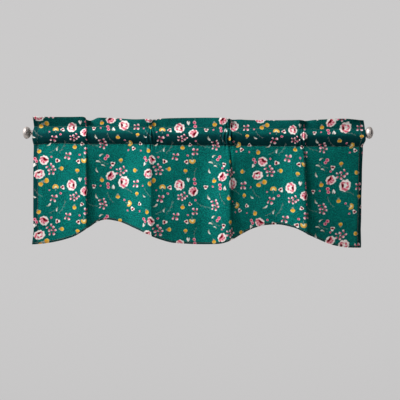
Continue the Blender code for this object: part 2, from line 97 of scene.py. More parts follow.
def smooth_curve(xs: Sequence[float], ys: Sequence[float], x: Array) -> Array:
    """Read a curve through points that never overshoots them.

    Args:
        xs: Places of the points, rising.
        ys: Values at the points.
        x: Where to read the curve.

    Returns:
        The curve's values at x.
    """
    places, values = np.asarray(xs, float), np.asarray(ys, float)
    steps = np.diff(places)
    slopes = np.diff(values) / steps
    before, after = slopes[:-1], slopes[1:]
    same_way = before * after > 0
    total = np.where(same_way, before + after, 1.0)
    tangents = np.zeros_like(values)
    tangents[1:-1] = np.where(same_way, 2 * before * after / total, 0.0)
    x = np.clip(x, places[0], places[-1])
    cell = np.clip(np.searchsorted(places, x) - 1, 0, len(steps) - 1)
    t = (x - places[cell]) / steps[cell]
    ends = (2 * t**3 - 3 * t**2 + 1) * values[cell] + (3 * t**2 - 2 * t**3) * values[cell + 1]
    bends = (t**3 - 2 * t**2 + t) * tangents[cell] + (t**3 - t**2) * tangents[cell + 1]
    return ends + steps[cell] * bends


def pulse(distance: Array, width: float | Array) -> Array:
    """Return a soft hump of height 1 over a width."""
    inside = np.abs(distance) < width / 2
    return np.where(inside, 0.5 + 0.5 * np.cos(TURN * distance / width), 0.0)


def soft_step(value: Array) -> Array:
    """Rise softly from 0 to 1 as value goes from 0 to 1."""
    t = np.clip(value, 0.0, 1.0)
    return t * t * (3 - 2 * t)


@dataclass(frozen=True)
class Rumple:
    """Soft random relief over the flat cloth, with its height and the humps' size in metres.

    squeeze draws the humps out down the cloth, and seed sets one relief apart from another.
    """

    height: float
    size: float
    seed: float
    squeeze: float = 1.0

    def read(self, u: Array, v: Array, layer: float) -> Array:
        """Return the relief.

        Args:
            u: Flat places across, in metres.
            v: Flat places down, in metres.
            layer: A number that sets one layer of cloth apart from the other.

        Returns:
            The relief, shaped as u and v.
        """
        flat_u, flat_v = u.ravel() / self.size, (v * self.squeeze).ravel() / self.size
        seed = self.seed + layer
        humps = [noise.noise(Vector((a, b, seed))) for a, b in zip(flat_u, flat_v)]
        return self.height * np.asarray(humps).reshape(u.shape)


# ---- shader wiring


class Wiring:
    """Places shader nodes in a tree and joins them, in the order of the calls."""

    ROWS = 8
    SPACING = (180, -160)

    def __init__(self, tree: Group) -> None:
        """Work in a node tree."""
        self.tree = tree
        self.placed = 0

    def node(self, kind: str, **settings: object) -> bpy.types.Node:
        """Place a node.

        Args:
            kind: The node's type name.
            **settings: Properties to set on it.

        Returns:
            The new node.
        """
        item = self.tree.nodes.new(kind)
        column, row = divmod(self.placed, self.ROWS)
        item.location = (self.SPACING[0] * column, self.SPACING[1] * row)
        self.placed += 1
        for name, value in settings.items():
            setattr(item, name, value)
        return item

    def put(self, socket: Socket, value: object) -> None:
        """Join a socket to another one, or set its plain value."""
        if isinstance(value, Socket):
            self.tree.links.new(value, socket)
        else:
            socket.default_value = value

    def fill(self, sockets: Iterable[Socket], values: Iterable[object]) -> None:
        """Join or set sockets in their order."""
        for socket, value in zip(sockets, values):
            self.put(socket, value)

    def feed(self, item: bpy.types.Node, **values: object) -> None:
        """Join or set a node's inputs by name, with _ for a space."""
        for name, value in values.items():
            self.put(item.inputs[name.replace("_", " ")], value)

    def math(self, operation: str, *values: Number, clamp: bool = False) -> Socket:
        """Do arithmetic on numbers.

        Args:
            operation: Name of the Math node's operation.
            *values: One to three numbers or sockets.
            clamp: Whether to keep the result between 0 and 1.

        Returns:
            The result's socket.
        """
        item = self.node("ShaderNodeMath", operation=operation, use_clamp=clamp)
        self.fill(item.inputs, values)
        return item.outputs[0]

    def times(self, a: Number, b: Number, *plus: Number, clamp: bool = False) -> Socket:
        """Multiply two numbers, and add a third one if it is given."""
        return self.math("MULTIPLY_ADD" if plus else "MULTIPLY", a, b, *plus, clamp=clamp)

    def wave(self, a: Number, b: Number, *plus: Number) -> Socket:
        """Return the sine of what times gives, in radians."""
        return self.math("SINE", self.times(a, b, *plus))

    def vector(self, operation: str, *values: object) -> Socket:
        """Do arithmetic on vectors.

        Args:
            operation: Name of the Vector Math node's operation.
            *values: Vectors or sockets.

        Returns:
            The result's socket: a number for a length, distance or dot product.
        """
        item = self.node("ShaderNodeVectorMath", operation=operation)
        self.fill(item.inputs, values)
        single = operation in ("LENGTH", "DISTANCE", "DOT_PRODUCT")
        return item.outputs["Value" if single else "Vector"]

    def mix(
        self, factor: Number, a: object, b: object, kind: str = "RGBA", blend: str = "MIX"
    ) -> Socket:
        """Blend from a to b.

        Args:
            factor: 0 for a and 1 for b.
            a: First value.
            b: Second value.
            kind: RGBA, VECTOR or FLOAT.
            blend: MIX, or MULTIPLY to blend towards a times b.

        Returns:
            The blend's socket.
        """
        item = self.node("ShaderNodeMix", data_type=kind, blend_type=blend)
        self.fill((socket for socket in item.inputs if socket.enabled), (factor, a, b))
        return next(socket for socket in item.outputs if socket.enabled)

    def shade(self, colour: object, by: object) -> Socket:
        """Multiply a colour by another one."""
        return self.mix(1.0, colour, by, blend="MULTIPLY")

    def step(self, value: Number, low: float, high: float) -> Socket:
        """Rise softly from 0 to 1 as value goes from low to high; low may be the larger."""
        item = self.node("ShaderNodeMapRange", interpolation_type="SMOOTHSTEP")
        falling = low > high
        self.feed(item, Value=value, From_Min=min(low, high), From_Max=max(low, high))
        self.feed(item, To_Min=float(falling), To_Max=float(not falling))
        return item.outputs["Result"]

    def ramp(self, factor: Number, stops: Iterable[tuple[float, Colour]]) -> Socket:
        """Read a colour ramp.

        Args:
            factor: Where to read it.
            stops: Places and colours, rising.

        Returns:
            The colour's socket.
        """
        item = self.node("ShaderNodeValToRGB")
        ramp = item.color_ramp
        for index, (place, colour) in enumerate(stops):
            stop = ramp.elements[index] if index < 2 else ramp.elements.new(place)
            stop.position = place
            stop.color = colour
        self.put(item.inputs["Fac"], factor)
        return item.outputs["Color"]

    def noise(self, place: object, scale: float = 1.0, detail: float = 2.0) -> Socket:
        """Read soft noise between 0 and 1 at a place, with scale humps to the unit."""
        item = self.node("ShaderNodeTexNoise")
        self.feed(item, Vector=place, Scale=scale, Detail=detail)
        return item.outputs["Fac"]

    def join(self, x: Number = 0.0, y: Number = 0.0, z: Number = 0.0) -> Socket:
        """Make a vector from three numbers."""
        item = self.node("ShaderNodeCombineXYZ")
        self.fill(item.inputs, (x, y, z))
        return item.outputs[0]

    def bump(self, shader: bpy.types.Node, height: Socket, strength: float, distance: float) -> None:
        """Give a shader relief from a height; distance is the height of 1, in metres."""
        item = self.node("ShaderNodeBump")
        self.feed(item, Height=height, Strength=strength, Distance=distance)
        self.feed(shader, Normal=item.outputs["Normal"])

    def oval(
        self, x: Number, y: Number, middle: tuple[float, float], halves: tuple[float, float]
    ) -> Socket:
        """Measure how far out of an oval a place lies.

        Args:
            x: Place across.
            y: Place down.
            middle: The oval's middle.
            halves: Half its width and height.

        Returns:
            0 in its middle and 1 on its edge.
        """
        across = self.times(x, 1 / halves[0], -middle[0] / halves[0])
        down = self.times(y, 1 / halves[1], -middle[1] / halves[1])
        return self.vector("LENGTH", self.join(across, down))

    def split(self, place: Socket) -> tuple[Socket, Socket, Socket]:
        """Take a vector apart."""
        item = self.node("ShaderNodeSeparateXYZ")
        self.put(item.inputs[0], place)
        return tuple(item.outputs)

    def use(self, group: Group, **values: object) -> dict[str, Socket]:
        """Place a node group.

        Args:
            group: The group's tree.
            **values: Values for its inputs, by name, with _ for a space.

        Returns:
            Its outputs by name.
        """
        item = self.node("ShaderNodeGroup", node_tree=group)
        self.feed(item, **values)
        return {socket.name: socket for socket in item.outputs}


class Effect:
    """A shader node group with named inputs and outputs, while it is being made."""

    KINDS = {"number": "NodeSocketFloat", "vector": "NodeSocketVector", "colour": "NodeSocketColor"}

    def __init__(self, name: str, inputs: dict[str, str], outputs: dict[str, str]) -> None:
        """Start a group.

        Args:
            name: The group's name.
            inputs: Kind of each input, by name.
            outputs: Kind of each output, by name.
        """
        self.tree = bpy.data.node_groups.new(name, "ShaderNodeTree")
        for side, sockets in (("INPUT", inputs), ("OUTPUT", outputs)):
            for socket, kind in sockets.items():
                self.tree.interface.new_socket(socket, in_out=side, socket_type=self.KINDS[kind])
        self.wire = Wiring(self.tree)
        self.given = self.wire.node("NodeGroupInput").outputs

    def finish(self, **results: object) -> Group:
        """Join the results to the group's outputs, by name, and return its tree."""
        self.wire.feed(self.wire.node("NodeGroupOutput"), **results)
        return self.tree


def new_material(name: str) -> tuple[Material, Wiring, bpy.types.Node]:
    """Make a material with a Principled shader.

    Args:
        name: The material's name.

    Returns:
        The material, its wiring and its Principled node.
    """
    material = bpy.data.materials.new(name)
    material.use_nodes = True
    return material, Wiring(material.node_tree), material.node_tree.nodes["Principled BSDF"]


# ---- the print


class Motif(Enum):
    """The kinds of motif that the print repeats."""

    SPRIG = "sprig"
    LEAF = "leaf"
    ROUND = "round flower"
    CLUSTER = "petal cluster"
    BLOSSOM = "four petals"
    FAN = "yellow fan"
    DROP = "yellow drop"
    HEART = "white heart"
    BUD = "white bud"
    CUP = "half-open rose"
    ROSE = "rose"


# The print's repeat, charted from the first rose: each motif's middle in mm, its size
# in mm, and its turn in degrees clockwise.
CHART: dict[Motif, tuple[tuple[int, int, int, int], ...]] = {
    Motif.ROSE: ((-15, 49, 37, 248), (98, 90, 38, 355), (289, 78, 41, 172)),
    Motif.CUP: ((1, 1, 34, 305), (145, 110, 34, 25), (244, 56, 34, 215)),
    Motif.CLUSTER: ((25, 35, 39, 0), (108, 130, 34, 85), (279, 39, 38, 88), (216, 154, 37, 15)),
    Motif.BLOSSOM: ((83, -12, 26, 0), (34, 137, 26, 5), (152, 180, 25, 170), (334, 84, 26, 350)),
    Motif.ROUND: (
        (-31, -6, 13, 40), (-25, 3, 12, 200), (149, 67, 12, 300), (151, 81, 13, 90), (232, -13, 13, 20),
        (225, -4, 12, 160), (234, 85, 13, 250), (236, 97, 12, 70), (26, -8, 8, 0), (20, 108, 6, 90),
        (59, 120, 9, 30), (153, 140, 8, 120), (126, 195, 8, 0), (243, 27, 8, 210), (209, 91, 7, 60),
        (304, 178, 7, 150), (352, 180, 7, 10), (292, 141, 8, 300), (364, 91, 7, 100),
    ),
    Motif.DROP: (
        (60, 33, 18, 0), (118, 40, 17, 275), (108, 166, 18, 90), (277, 3, 17, 270), (331, 37, 18, 180),
        (339, 120, 17, 280), (269, 128, 18, 85), (-18, 179, 19, 60), (213, 69, 18, 80),
        (7, 74, 22, 350), (-9, 82, 21, 120),
    ),
    Motif.FAN: ((41, 97, 21, 270), (142, 3, 22, 85), (311, 154, 21, 15)),
    Motif.BUD: (
        (46, 6, 19, 0), (121, 5, 18, 60), (65, 98, 18, 55), (135, 155, 16, 130), (250, 13, 19, 100),
        (186, 92, 17, 95), (350, 154, 17, 20), (323, 173, 17, 240),
    ),
    Motif.HEART: ((128, 70, 15, 270), (253, 95, 15, 90), (-32, 16, 14, 300)),
    Motif.LEAF: (
        (17, 160, 17, 330), (195, 36, 17, 75), (194, 128, 18, 70), (211, 195, 15, 150),
        (202, 7, 17, 205), (218, 20, 14, 210), (370, 126, 15, 40), (46, 176, 15, 110),
    ),
    Motif.SPRIG: (
        (36, 176, 46, 320), (178, 156, 50, 20), (219, 6, 40, 30), (62, -42, 60, 300),
        (153, 44, 44, 100), (243, 132, 48, 60), (300, 106, 46, 200), (-18, 114, 44, 45),
    ),
}


@dataclass(frozen=True)
class Stamp:
    """One printed motif: its middle and size in mm, and its turn in degrees clockwise."""

    x: float
    y: float
    size: int
    turn: float


@dataclass(frozen=True)
class Repeat:
    """The print's repeat in mm: its size and where the chart starts in it.

    overreach is how far a motif may reach past its middle, as a share of its size.
    """

    width: float = 403.0
    height: float = 212.0
    origin_x: float = 36.0
    origin_y: float = 162.0
    overreach: float = 0.55

    def spread(self, motif: Motif) -> list[Stamp]:
        """Place one kind's stamps in the repeat, again past its edges where they reach over.

        Args:
            motif: The kind of motif.

        Returns:
            The stamps, in mm from the repeat's corner.
        """
        placed = []
        for chart_x, chart_y, size, turn in CHART[motif]:
            x = (chart_x + self.origin_x) % self.width
            y = (chart_y + self.origin_y) % self.height
            reach = self.overreach * size
            for shift_x in (-self.width, 0.0, self.width):
                for shift_y in (-self.height, 0.0, self.height):
                    near_x = -reach < x + shift_x < self.width + reach
                    near_y = -reach < y + shift_y < self.height + reach
                    if near_x and near_y:
                        placed.append(Stamp(x + shift_x, y + shift_y, size, turn))
        return placed


@dataclass(frozen=True)
class Petal:
    """A loose petal in its motif's frame: middle, length, width, and heading in degrees."""

    x: float
    y: float
    length: float
    width: float
    heading: float


CLUSTER_PETALS = (
    Petal(0.01, -0.40, 0.29, 0.19, -95), Petal(-0.33, -0.24, 0.30, 0.17, 155),
    Petal(0.17, -0.17, 0.30, 0.25, -60), Petal(-0.17, 0.04, 0.29, 0.24, 115),
    Petal(0.07, 0.06, 0.20, 0.11, 210), Petal(0.32, 0.08, 0.29, 0.20, -20),
    Petal(-0.12, 0.36, 0.27, 0.15, 120), Petal(0.20, 0.37, 0.28, 0.22, 65),
)
BLOSSOM_PETALS = (
    Petal(-0.15, -0.27, 0.38, 0.24, -125), Petal(0.28, -0.26, 0.45, 0.40, -25),
    Petal(-0.29, 0.20, 0.44, 0.24, 118), Petal(0.15, 0.29, 0.46, 0.36, 62),
)


@dataclass(frozen=True)
class RoseForm:
    """Where a rose's heart and blush lie, as shares of its size, with the heart towards +x."""

    heart_x: float
    heart_width: float
    heart_length: float
    blush_ring: float
    blush_width: float


OPEN_ROSE = RoseForm(
    heart_x=0.20, heart_width=0.085, heart_length=0.15, blush_ring=0.31, blush_width=0.08
)
CUPPED_ROSE = RoseForm(
    heart_x=0.14, heart_width=0.105, heart_length=0.24, blush_ring=0.24, blush_width=0.15
)


@dataclass(frozen=True)
class PrintInks:
    """The inks of the print."""

    white: Colour = tint(252, 246, 240)
    cream: Colour = tint(255, 238, 196)
    blush: Colour = tint(246, 190, 200)
    pink: Colour = tint(240, 130, 160)
    rose: Colour = tint(224, 84, 118)
    salmon: Colour = tint(236, 128, 140)
    crimson: Colour = tint(150, 8, 34)
    wine: Colour = tint(88, 0, 16)
    amber: Colour = tint(206, 132, 22)
    gold: Colour = tint(236, 178, 54)
    straw: Colour = tint(252, 216, 122)
    sage: Colour = tint(126, 138, 112)
    mauve: Colour = tint(132, 122, 132)
    silver: Colour = tint(206, 212, 206)


class FlowerPrint:
    """Builds the node group that prints flowers on the flat cloth.

    WANDER is how far in mm the print wanders from its chart, over humps of WANDER_SCALES.
    """

    WANDER = 4.0
    WANDER_SCALES = (0.11, 0.14)

    def __init__(self, repeat: Repeat, inks: PrintInks) -> None:
        """Take the repeat and the inks."""
        self.repeat = repeat
        self.inks = inks
        self.frame = self.stamp_frame()
        self.petal = self.petal_form()

    def stamp_frame(self) -> Group:
        """Build the group that turns a place into a stamp's own frame, 1 for its size.

        A stamp comes as a vector: its place, and its size in whole mm plus its turn
        as a share of a full turn.
        """
        effect = Effect(
            "stamp_frame",
            {"X": "number", "Y": "number", "Stamp": "vector"},
            {"X": "number", "Y": "number"},
        )
        w, given = effect.wire, effect.given
        stamp_x, stamp_y, code = w.split(given["Stamp"])
        size = w.math("FLOOR", code)
        angle = w.times(w.math("FRACT", code), TURN)
        across = w.math("DIVIDE", w.math("SUBTRACT", given["X"], stamp_x), size)
        down = w.math("DIVIDE", w.math("SUBTRACT", given["Y"], stamp_y), size)
        cosine, sine = w.math("COSINE", angle), w.math("SINE", angle)
        x = w.times(down, sine, w.times(across, cosine))
        y = w.math("SUBTRACT", w.times(down, cosine), w.times(across, sine))
        return effect.finish(X=x, Y=y)

    def petal_form(self) -> Group:
        """Build the group that draws one petal, narrow at its foot and broad at its tip."""
        effect = Effect(
            "petal_form",
            {"Along": "number", "Across": "number"},
            {"Ink": "number", "Share": "number"},
        )
        w, given = effect.wire, effect.given
        room = w.times(given["Along"], 0.95, 0.78)
        aside = w.math("DIVIDE", given["Across"], w.math("MAXIMUM", room, 0.15))
        reach = w.vector("LENGTH", w.join(given["Along"], aside))
        return effect.finish(Ink=w.step(reach, 0.59, 0.47), Share=w.math("ADD", given["Along"], 0.5))

    def draw_petals(self, w: Wiring, x: Socket, y: Socket, petals: Iterable[Petal]) -> Drawn:
        """Draw loose petals, pink at the foot and white at the tip.

        Args:
            w: Where to place the nodes.
            x: Place across in the motif's frame.
            y: Place down in the motif's frame.
            petals: The petals.

        Returns:
            Their colour and cover.
        """
        cover: Number = 0.0
        share: Number = 0.0
        for petal in petals:
            heading = math.radians(petal.heading)
            c, d = math.cos(heading), math.sin(heading)
            foot = petal.x * c + petal.y * d
            side = petal.y * c - petal.x * d
            part = w.times(y, d / petal.length, -foot / petal.length)
            along = w.times(x, c / petal.length, part)
            part = w.times(y, c / petal.width, -side / petal.width)
            across = w.times(x, -d / petal.width, part)
            drawn = w.use(self.petal, Along=along, Across=across)
            share = w.mix(drawn["Ink"], share, drawn["Share"], "FLOAT")
            cover = w.math("MAXIMUM", cover, drawn["Ink"])
        inks = self.inks
        shades = (inks.crimson, inks.rose, inks.pink, inks.blush, inks.white)
        return w.ramp(share, zip((0.12, 0.3, 0.5, 0.7, 0.86), shades)), cover

    def draw_cluster(self, w: Wiring, x: Socket, y: Socket) -> Drawn:
        """Draw a loose cluster of petals."""
        return self.draw_petals(w, x, y, CLUSTER_PETALS)

    def draw_blossom(self, w: Wiring, x: Socket, y: Socket) -> Drawn:
        """Draw four loose petals, two of them larger."""
        return self.draw_petals(w, x, y, BLOSSOM_PETALS)

    def draw_sprig(self, w: Wiring, x: Socket, y: Socket) -> Drawn:
        """Draw a faint curved stem with small leaves along one side."""
        bow = w.times(w.times(x, x), -0.5, 0.06)
        off = w.math("SUBTRACT", y, bow)
        stem = w.step(w.math("ABSOLUTE", off), 0.020, 0.006)
        cell = w.math("SUBTRACT", w.math("FRACT", w.times(x, 4.0)), 0.5)
        lean = w.math("SUBTRACT", off, w.times(cell, 0.10, 0.05))
        leaf = w.step(w.oval(cell, lean, (0.0, 0.0), (0.34, 0.032)), 1.15, 0.75)
        inside = w.step(w.math("ABSOLUTE", x), 0.5, 0.44)
        ink = w.times(w.math("MAXIMUM", stem, w.times(leaf, 0.7)), inside)
        colour = w.mix(leaf, self.inks.mauve, self.inks.sage)
        return colour, w.times(ink, 0.2)

    def draw_leaf(self, w: Wiring, x: Socket, y: Socket) -> Drawn:
        """Draw a slender pale leaf, bent to one side."""
        bent = w.times(w.times(x, x), 0.6, w.math("SUBTRACT", y, 0.07))
        drawn = w.use(self.petal, Along=x, Across=w.times(bent, 2.7))
        return w.mix(drawn["Share"], self.inks.sage, self.inks.white), drawn["Ink"]

    def draw_heart(self, w: Wiring, x: Socket, y: Socket) -> Drawn:
        """Draw a small white heart-shaped leaf, notched at its broad end."""
        drawn = w.use(self.petal, Along=x, Across=w.times(y, 1.25))
        notch = w.step(w.oval(x, y, (0.5, 0.04), (0.26, 0.12)), 0.85, 1.1)
        shaded = w.mix(w.step(y, -0.02, 0.2), self.inks.white, self.inks.silver)
        return shaded, w.times(drawn["Ink"], notch)

    def draw_round(self, w: Wiring, x: Socket, y: Socket) -> Drawn:
        """Draw a small round pink flower with a paler rim to one side."""
        inks = self.inks
        radius = w.vector("LENGTH", w.join(x, y))
        ink = w.step(radius, 0.5, 0.4)
        shade = w.oval(x, y, (-0.06, 0.0), (1.0, 1.0))
        stops = ((0.1, inks.crimson), (0.18, inks.rose), (0.34, inks.pink), (0.46, inks.blush))
        return w.ramp(shade, stops), ink

    def draw_fan(self, w: Wiring, x: Socket, y: Socket) -> Drawn:
        """Draw a yellow half-moon flower with a cream rim and a short stem."""
        inks = self.inks
        radius = w.oval(x, y, (-0.14, 0.0), (0.52, 0.5))
        hollow = w.oval(x, y, (-0.44, 0.02), (0.28, 0.2))
        body = w.times(w.step(radius, 1.1, 0.94), w.step(hollow, 0.8, 1.1))
        body = w.times(body, w.step(x, -0.36, -0.26))
        stem = w.times(w.step(w.math("ABSOLUTE", y), 0.07, 0.03), w.step(hollow, 1.3, 1.1))
        rim = w.times(w.wave(y, 14.0), 0.05, radius)
        stops = ((0.3, inks.cream), (0.5, inks.straw), (0.68, inks.gold))
        colour = w.mix(body, inks.mauve, w.ramp(rim, stops))
        return colour, w.math("MAXIMUM", body, w.times(stem, 0.3))

    def draw_drop(self, w: Wiring, x: Socket, y: Socket) -> Drawn:
        """Draw a round yellow bud in a small grey-green cup."""
        inks = self.inks
        body = w.oval(x, y, (0.13, 0.0), (0.36, 0.4))
        cup = w.oval(x, y, (-0.27, 0.0), (0.24, 0.2))
        bud = w.step(body, 1.08, 0.9)
        glow = w.times(w.math("ABSOLUTE", y), 0.6, w.times(x, 0.8, 0.12))
        stops = ((0.0, inks.amber), (0.35, inks.gold), (0.7, inks.straw))
        colour = w.mix(bud, inks.sage, w.ramp(glow, stops))
        return colour, w.math("MAXIMUM", bud, w.times(w.step(cup, 1.15, 0.8), 0.8))

    def draw_bud(self, w: Wiring, x: Socket, y: Socket) -> Drawn:
        """Draw a white three-cornered bud with a dark red heart."""
        inks = self.inks
        radius = w.vector("LENGTH", w.join(x, y))
        corners = w.math("COSINE", w.times(w.math("ARCTAN2", y, x), 3.0))
        edge = w.times(corners, -0.085, w.times(x, -0.18, radius))
        ink = w.step(edge, 0.4, 0.35)
        heart = w.oval(x, y, (0.02, 0.02), (0.28, 0.42))
        stops = ((0.36, inks.wine), (0.5, inks.crimson), (0.66, inks.salmon), (0.84, inks.white))
        return w.ramp(heart, stops), ink

    def draw_rose(self, w: Wiring, x: Socket, y: Socket, form: RoseForm = OPEN_ROSE) -> Drawn:
        """Draw a rose: a scalloped white edge, a pink crescent and a dark heart to one side.

        Args:
            w: Where to place the nodes.
            x: Place across in the motif's frame.
            y: Place down in the motif's frame.
            form: Where its heart and blush lie.

        Returns:
            Its colour and cover.
        """
        inks = self.inks
        radius = w.vector("LENGTH", w.join(x, y))
        angle = w.math("ARCTAN2", y, x)
        lobes = w.math("ABSOLUTE", w.math("COSINE", w.times(angle, 4.5)))
        uneven = w.wave(angle, 2.0, 0.8)
        ragged = w.times(w.wave(angle, 7.0, 2.0), 0.014)
        edge = w.times(lobes, -0.055, w.times(uneven, 0.03, radius))
        ink = w.step(w.math("ADD", edge, ragged), 0.455, 0.42)
        whirl = w.times(angle, 4.5, w.times(radius, 13.0))
        veins = w.step(w.math("ABSOLUTE", w.math("SINE", whirl)), 0.3, 0.05)
        colour = w.mix(w.times(veins, 0.45), inks.white, inks.blush)
        bent_x = w.times(w.wave(y, 11.0, 1.0), 0.035, x)
        bent_y = w.times(w.wave(x, 9.0, 2.0), 0.035, y)
        ring = w.vector("LENGTH", w.join(w.math("SUBTRACT", bent_x, 0.08), bent_y))
        off = w.math("ABSOLUTE", w.math("SUBTRACT", ring, form.blush_ring))
        streaks = w.wave(angle, 5.0, w.times(radius, 16.0))
        off = w.times(streaks, 0.022, w.times(bent_y, 0.12, off))
        blush = w.step(off, form.blush_width + 0.03, form.blush_width - 0.015)
        blush = w.times(blush, w.step(bent_x, 0.3, 0.08))
        depth = w.times(streaks, 0.5, 0.5)
        shades = ((0.0, inks.rose), (0.3, inks.salmon), (0.62, inks.salmon), (0.9, inks.blush))
        colour = w.mix(blush, colour, w.ramp(depth, shades))
        beside = w.math("ABSOLUTE", w.math("ADD", bent_y, 0.03))
        wing = w.oval(bent_x, beside, (form.heart_x - 0.03, form.heart_length + 0.06), (0.1, 0.1))
        colour = w.mix(w.step(wing, 1.15, 0.7), colour, inks.salmon)
        halves = (2 * form.heart_width, 2 * form.heart_length)
        heart = w.oval(bent_x, bent_y, (form.heart_x, 0.0), halves)
        stops = ((0.34, inks.wine), (0.48, inks.crimson), (0.64, inks.rose))
        colour = w.mix(w.step(heart, 0.72, 0.56), colour, w.ramp(heart, stops))
        return colour, ink

    def draw_cup(self, w: Wiring, x: Socket, y: Socket) -> Drawn:
        """Draw a half-open rose with a larger heart and a full blush."""
        return self.draw_rose(w, x, y, CUPPED_ROSE)

    def nearest(self, w: Wiring, place: Socket, motif: Motif) -> Socket:
        """Find the stamp of one kind that lies nearest to a place.

        Args:
            w: Where to place the nodes.
            place: The place in the repeat, in mm.
            motif: The kind of motif.

        Returns:
            The stamp's vector, as stamp_frame reads it.
        """
        best: Socket | None = None
        found: object = None
        for stamp in self.repeat.spread(motif):
            code = (stamp.x, stamp.y, stamp.size + stamp.turn / 360)
            distance = w.vector("DISTANCE", place, (stamp.x, stamp.y, 0.0))
            if best is None:
                best, found = distance, code
                continue
            nearer = w.math("LESS_THAN", distance, best)
            best = w.math("MINIMUM", distance, best)
            found = w.mix(nearer, found, code, "VECTOR")
        return found

    def build(self) -> Group:
        """Build the print's group: a flat place in mm in, the inks' colour and cover out."""
        effect = Effect("flower_print", {"Place": "vector"}, {"Colour": "colour", "Ink": "number"})
        w = effect.wire
        artists = {
            Motif.SPRIG: self.draw_sprig,
            Motif.LEAF: self.draw_leaf,
            Motif.HEART: self.draw_heart,
            Motif.ROUND: self.draw_round,
            Motif.CLUSTER: self.draw_cluster,
            Motif.BLOSSOM: self.draw_blossom,
            Motif.FAN: self.draw_fan,
            Motif.DROP: self.draw_drop,
            Motif.BUD: self.draw_bud,
            Motif.CUP: self.draw_cup,
            Motif.ROSE: self.draw_rose,
        }
        given = effect.given["Place"]
        tile = (self.repeat.width, self.repeat.height, 1.0)
        across, down, _ = w.split(w.vector("WRAP", given, tile, (0.0, 0.0, 0.0)))
        x, y = (
            w.times(w.math("SUBTRACT", w.noise(given, scale), 0.5), self.WANDER, charted)
            for scale, charted in zip(self.WANDER_SCALES, (across, down))
        )
        place = w.join(x, y)
        colour: object = self.inks.white
        cover: Number = 0.0
        for motif, draw in artists.items():
            stamp = self.nearest(w, place, motif)
            own = w.use(self.frame, X=x, Y=y, Stamp=stamp)
            drawn, ink = draw(w, own["X"], own["Y"])
            colour = w.mix(ink, colour, drawn)
            cover = w.math("MAXIMUM", cover, ink)
        return effect.finish(Colour=colour, Ink=cover)


# ---- finishes


def woven_group(long: float = 0.05, short: float = 0.9) -> Group:
    """Build the plain weave: threads over and under each other, with uneven yarn.

    Args:
        long: Slubs to the mm along a thread.
        short: Slubs to the mm across it.

    Returns:
        A group with a height, a shade near 1, and slubs between 0 and 1.
    """
    effect = Effect(
        "plain_weave",
        {"Place": "vector", "Pitch": "number"},
        {"Height": "number", "Shade": "number", "Slubs": "number"},
    )
    w, given = effect.wire, effect.given
    x, y, _ = w.split(given["Place"])
    turns = w.math("DIVIDE", math.pi, given["Pitch"])
    warp = w.wave(x, turns)
    weft = w.wave(y, turns)
    height = w.times(w.times(warp, weft), 0.5, 0.5)
    slub_warp = w.noise(w.join(w.times(x, short), w.times(y, long)))
    slub_weft = w.noise(w.join(w.times(x, long), w.times(y, short)))
    slubs = w.times(w.math("ADD", slub_warp, slub_weft), 0.5)
    # Painted shade of the weave: darker where the threads dip under each other.
    shade = w.times(height, 0.12, 0.92)
    return effect.finish(Height=height, Shade=shade, Slubs=slubs)


def scuff_group() -> Group:
    """Build fine scuffs and dust: a mask of patches and one of hairlines."""
    effect = Effect(
        "scuffs",
        {"Place": "vector", "Scale": "number"},
        {"Patches": "number", "Hairlines": "number"},
    )
    w, given = effect.wire, effect.given
    scaled = w.vector("SCALE", given["Place"])
    w.feed(scaled.node, Scale=given["Scale"])
    patches = w.step(w.noise(scaled, 1.0, 4.0), 0.35, 0.7)
    lines = w.noise(w.vector("MULTIPLY", scaled, (14.0, 0.7, 0.7)), 1.0, 3.0)
    return effect.finish(Patches=patches, Hairlines=w.step(lines, 0.42, 0.62))


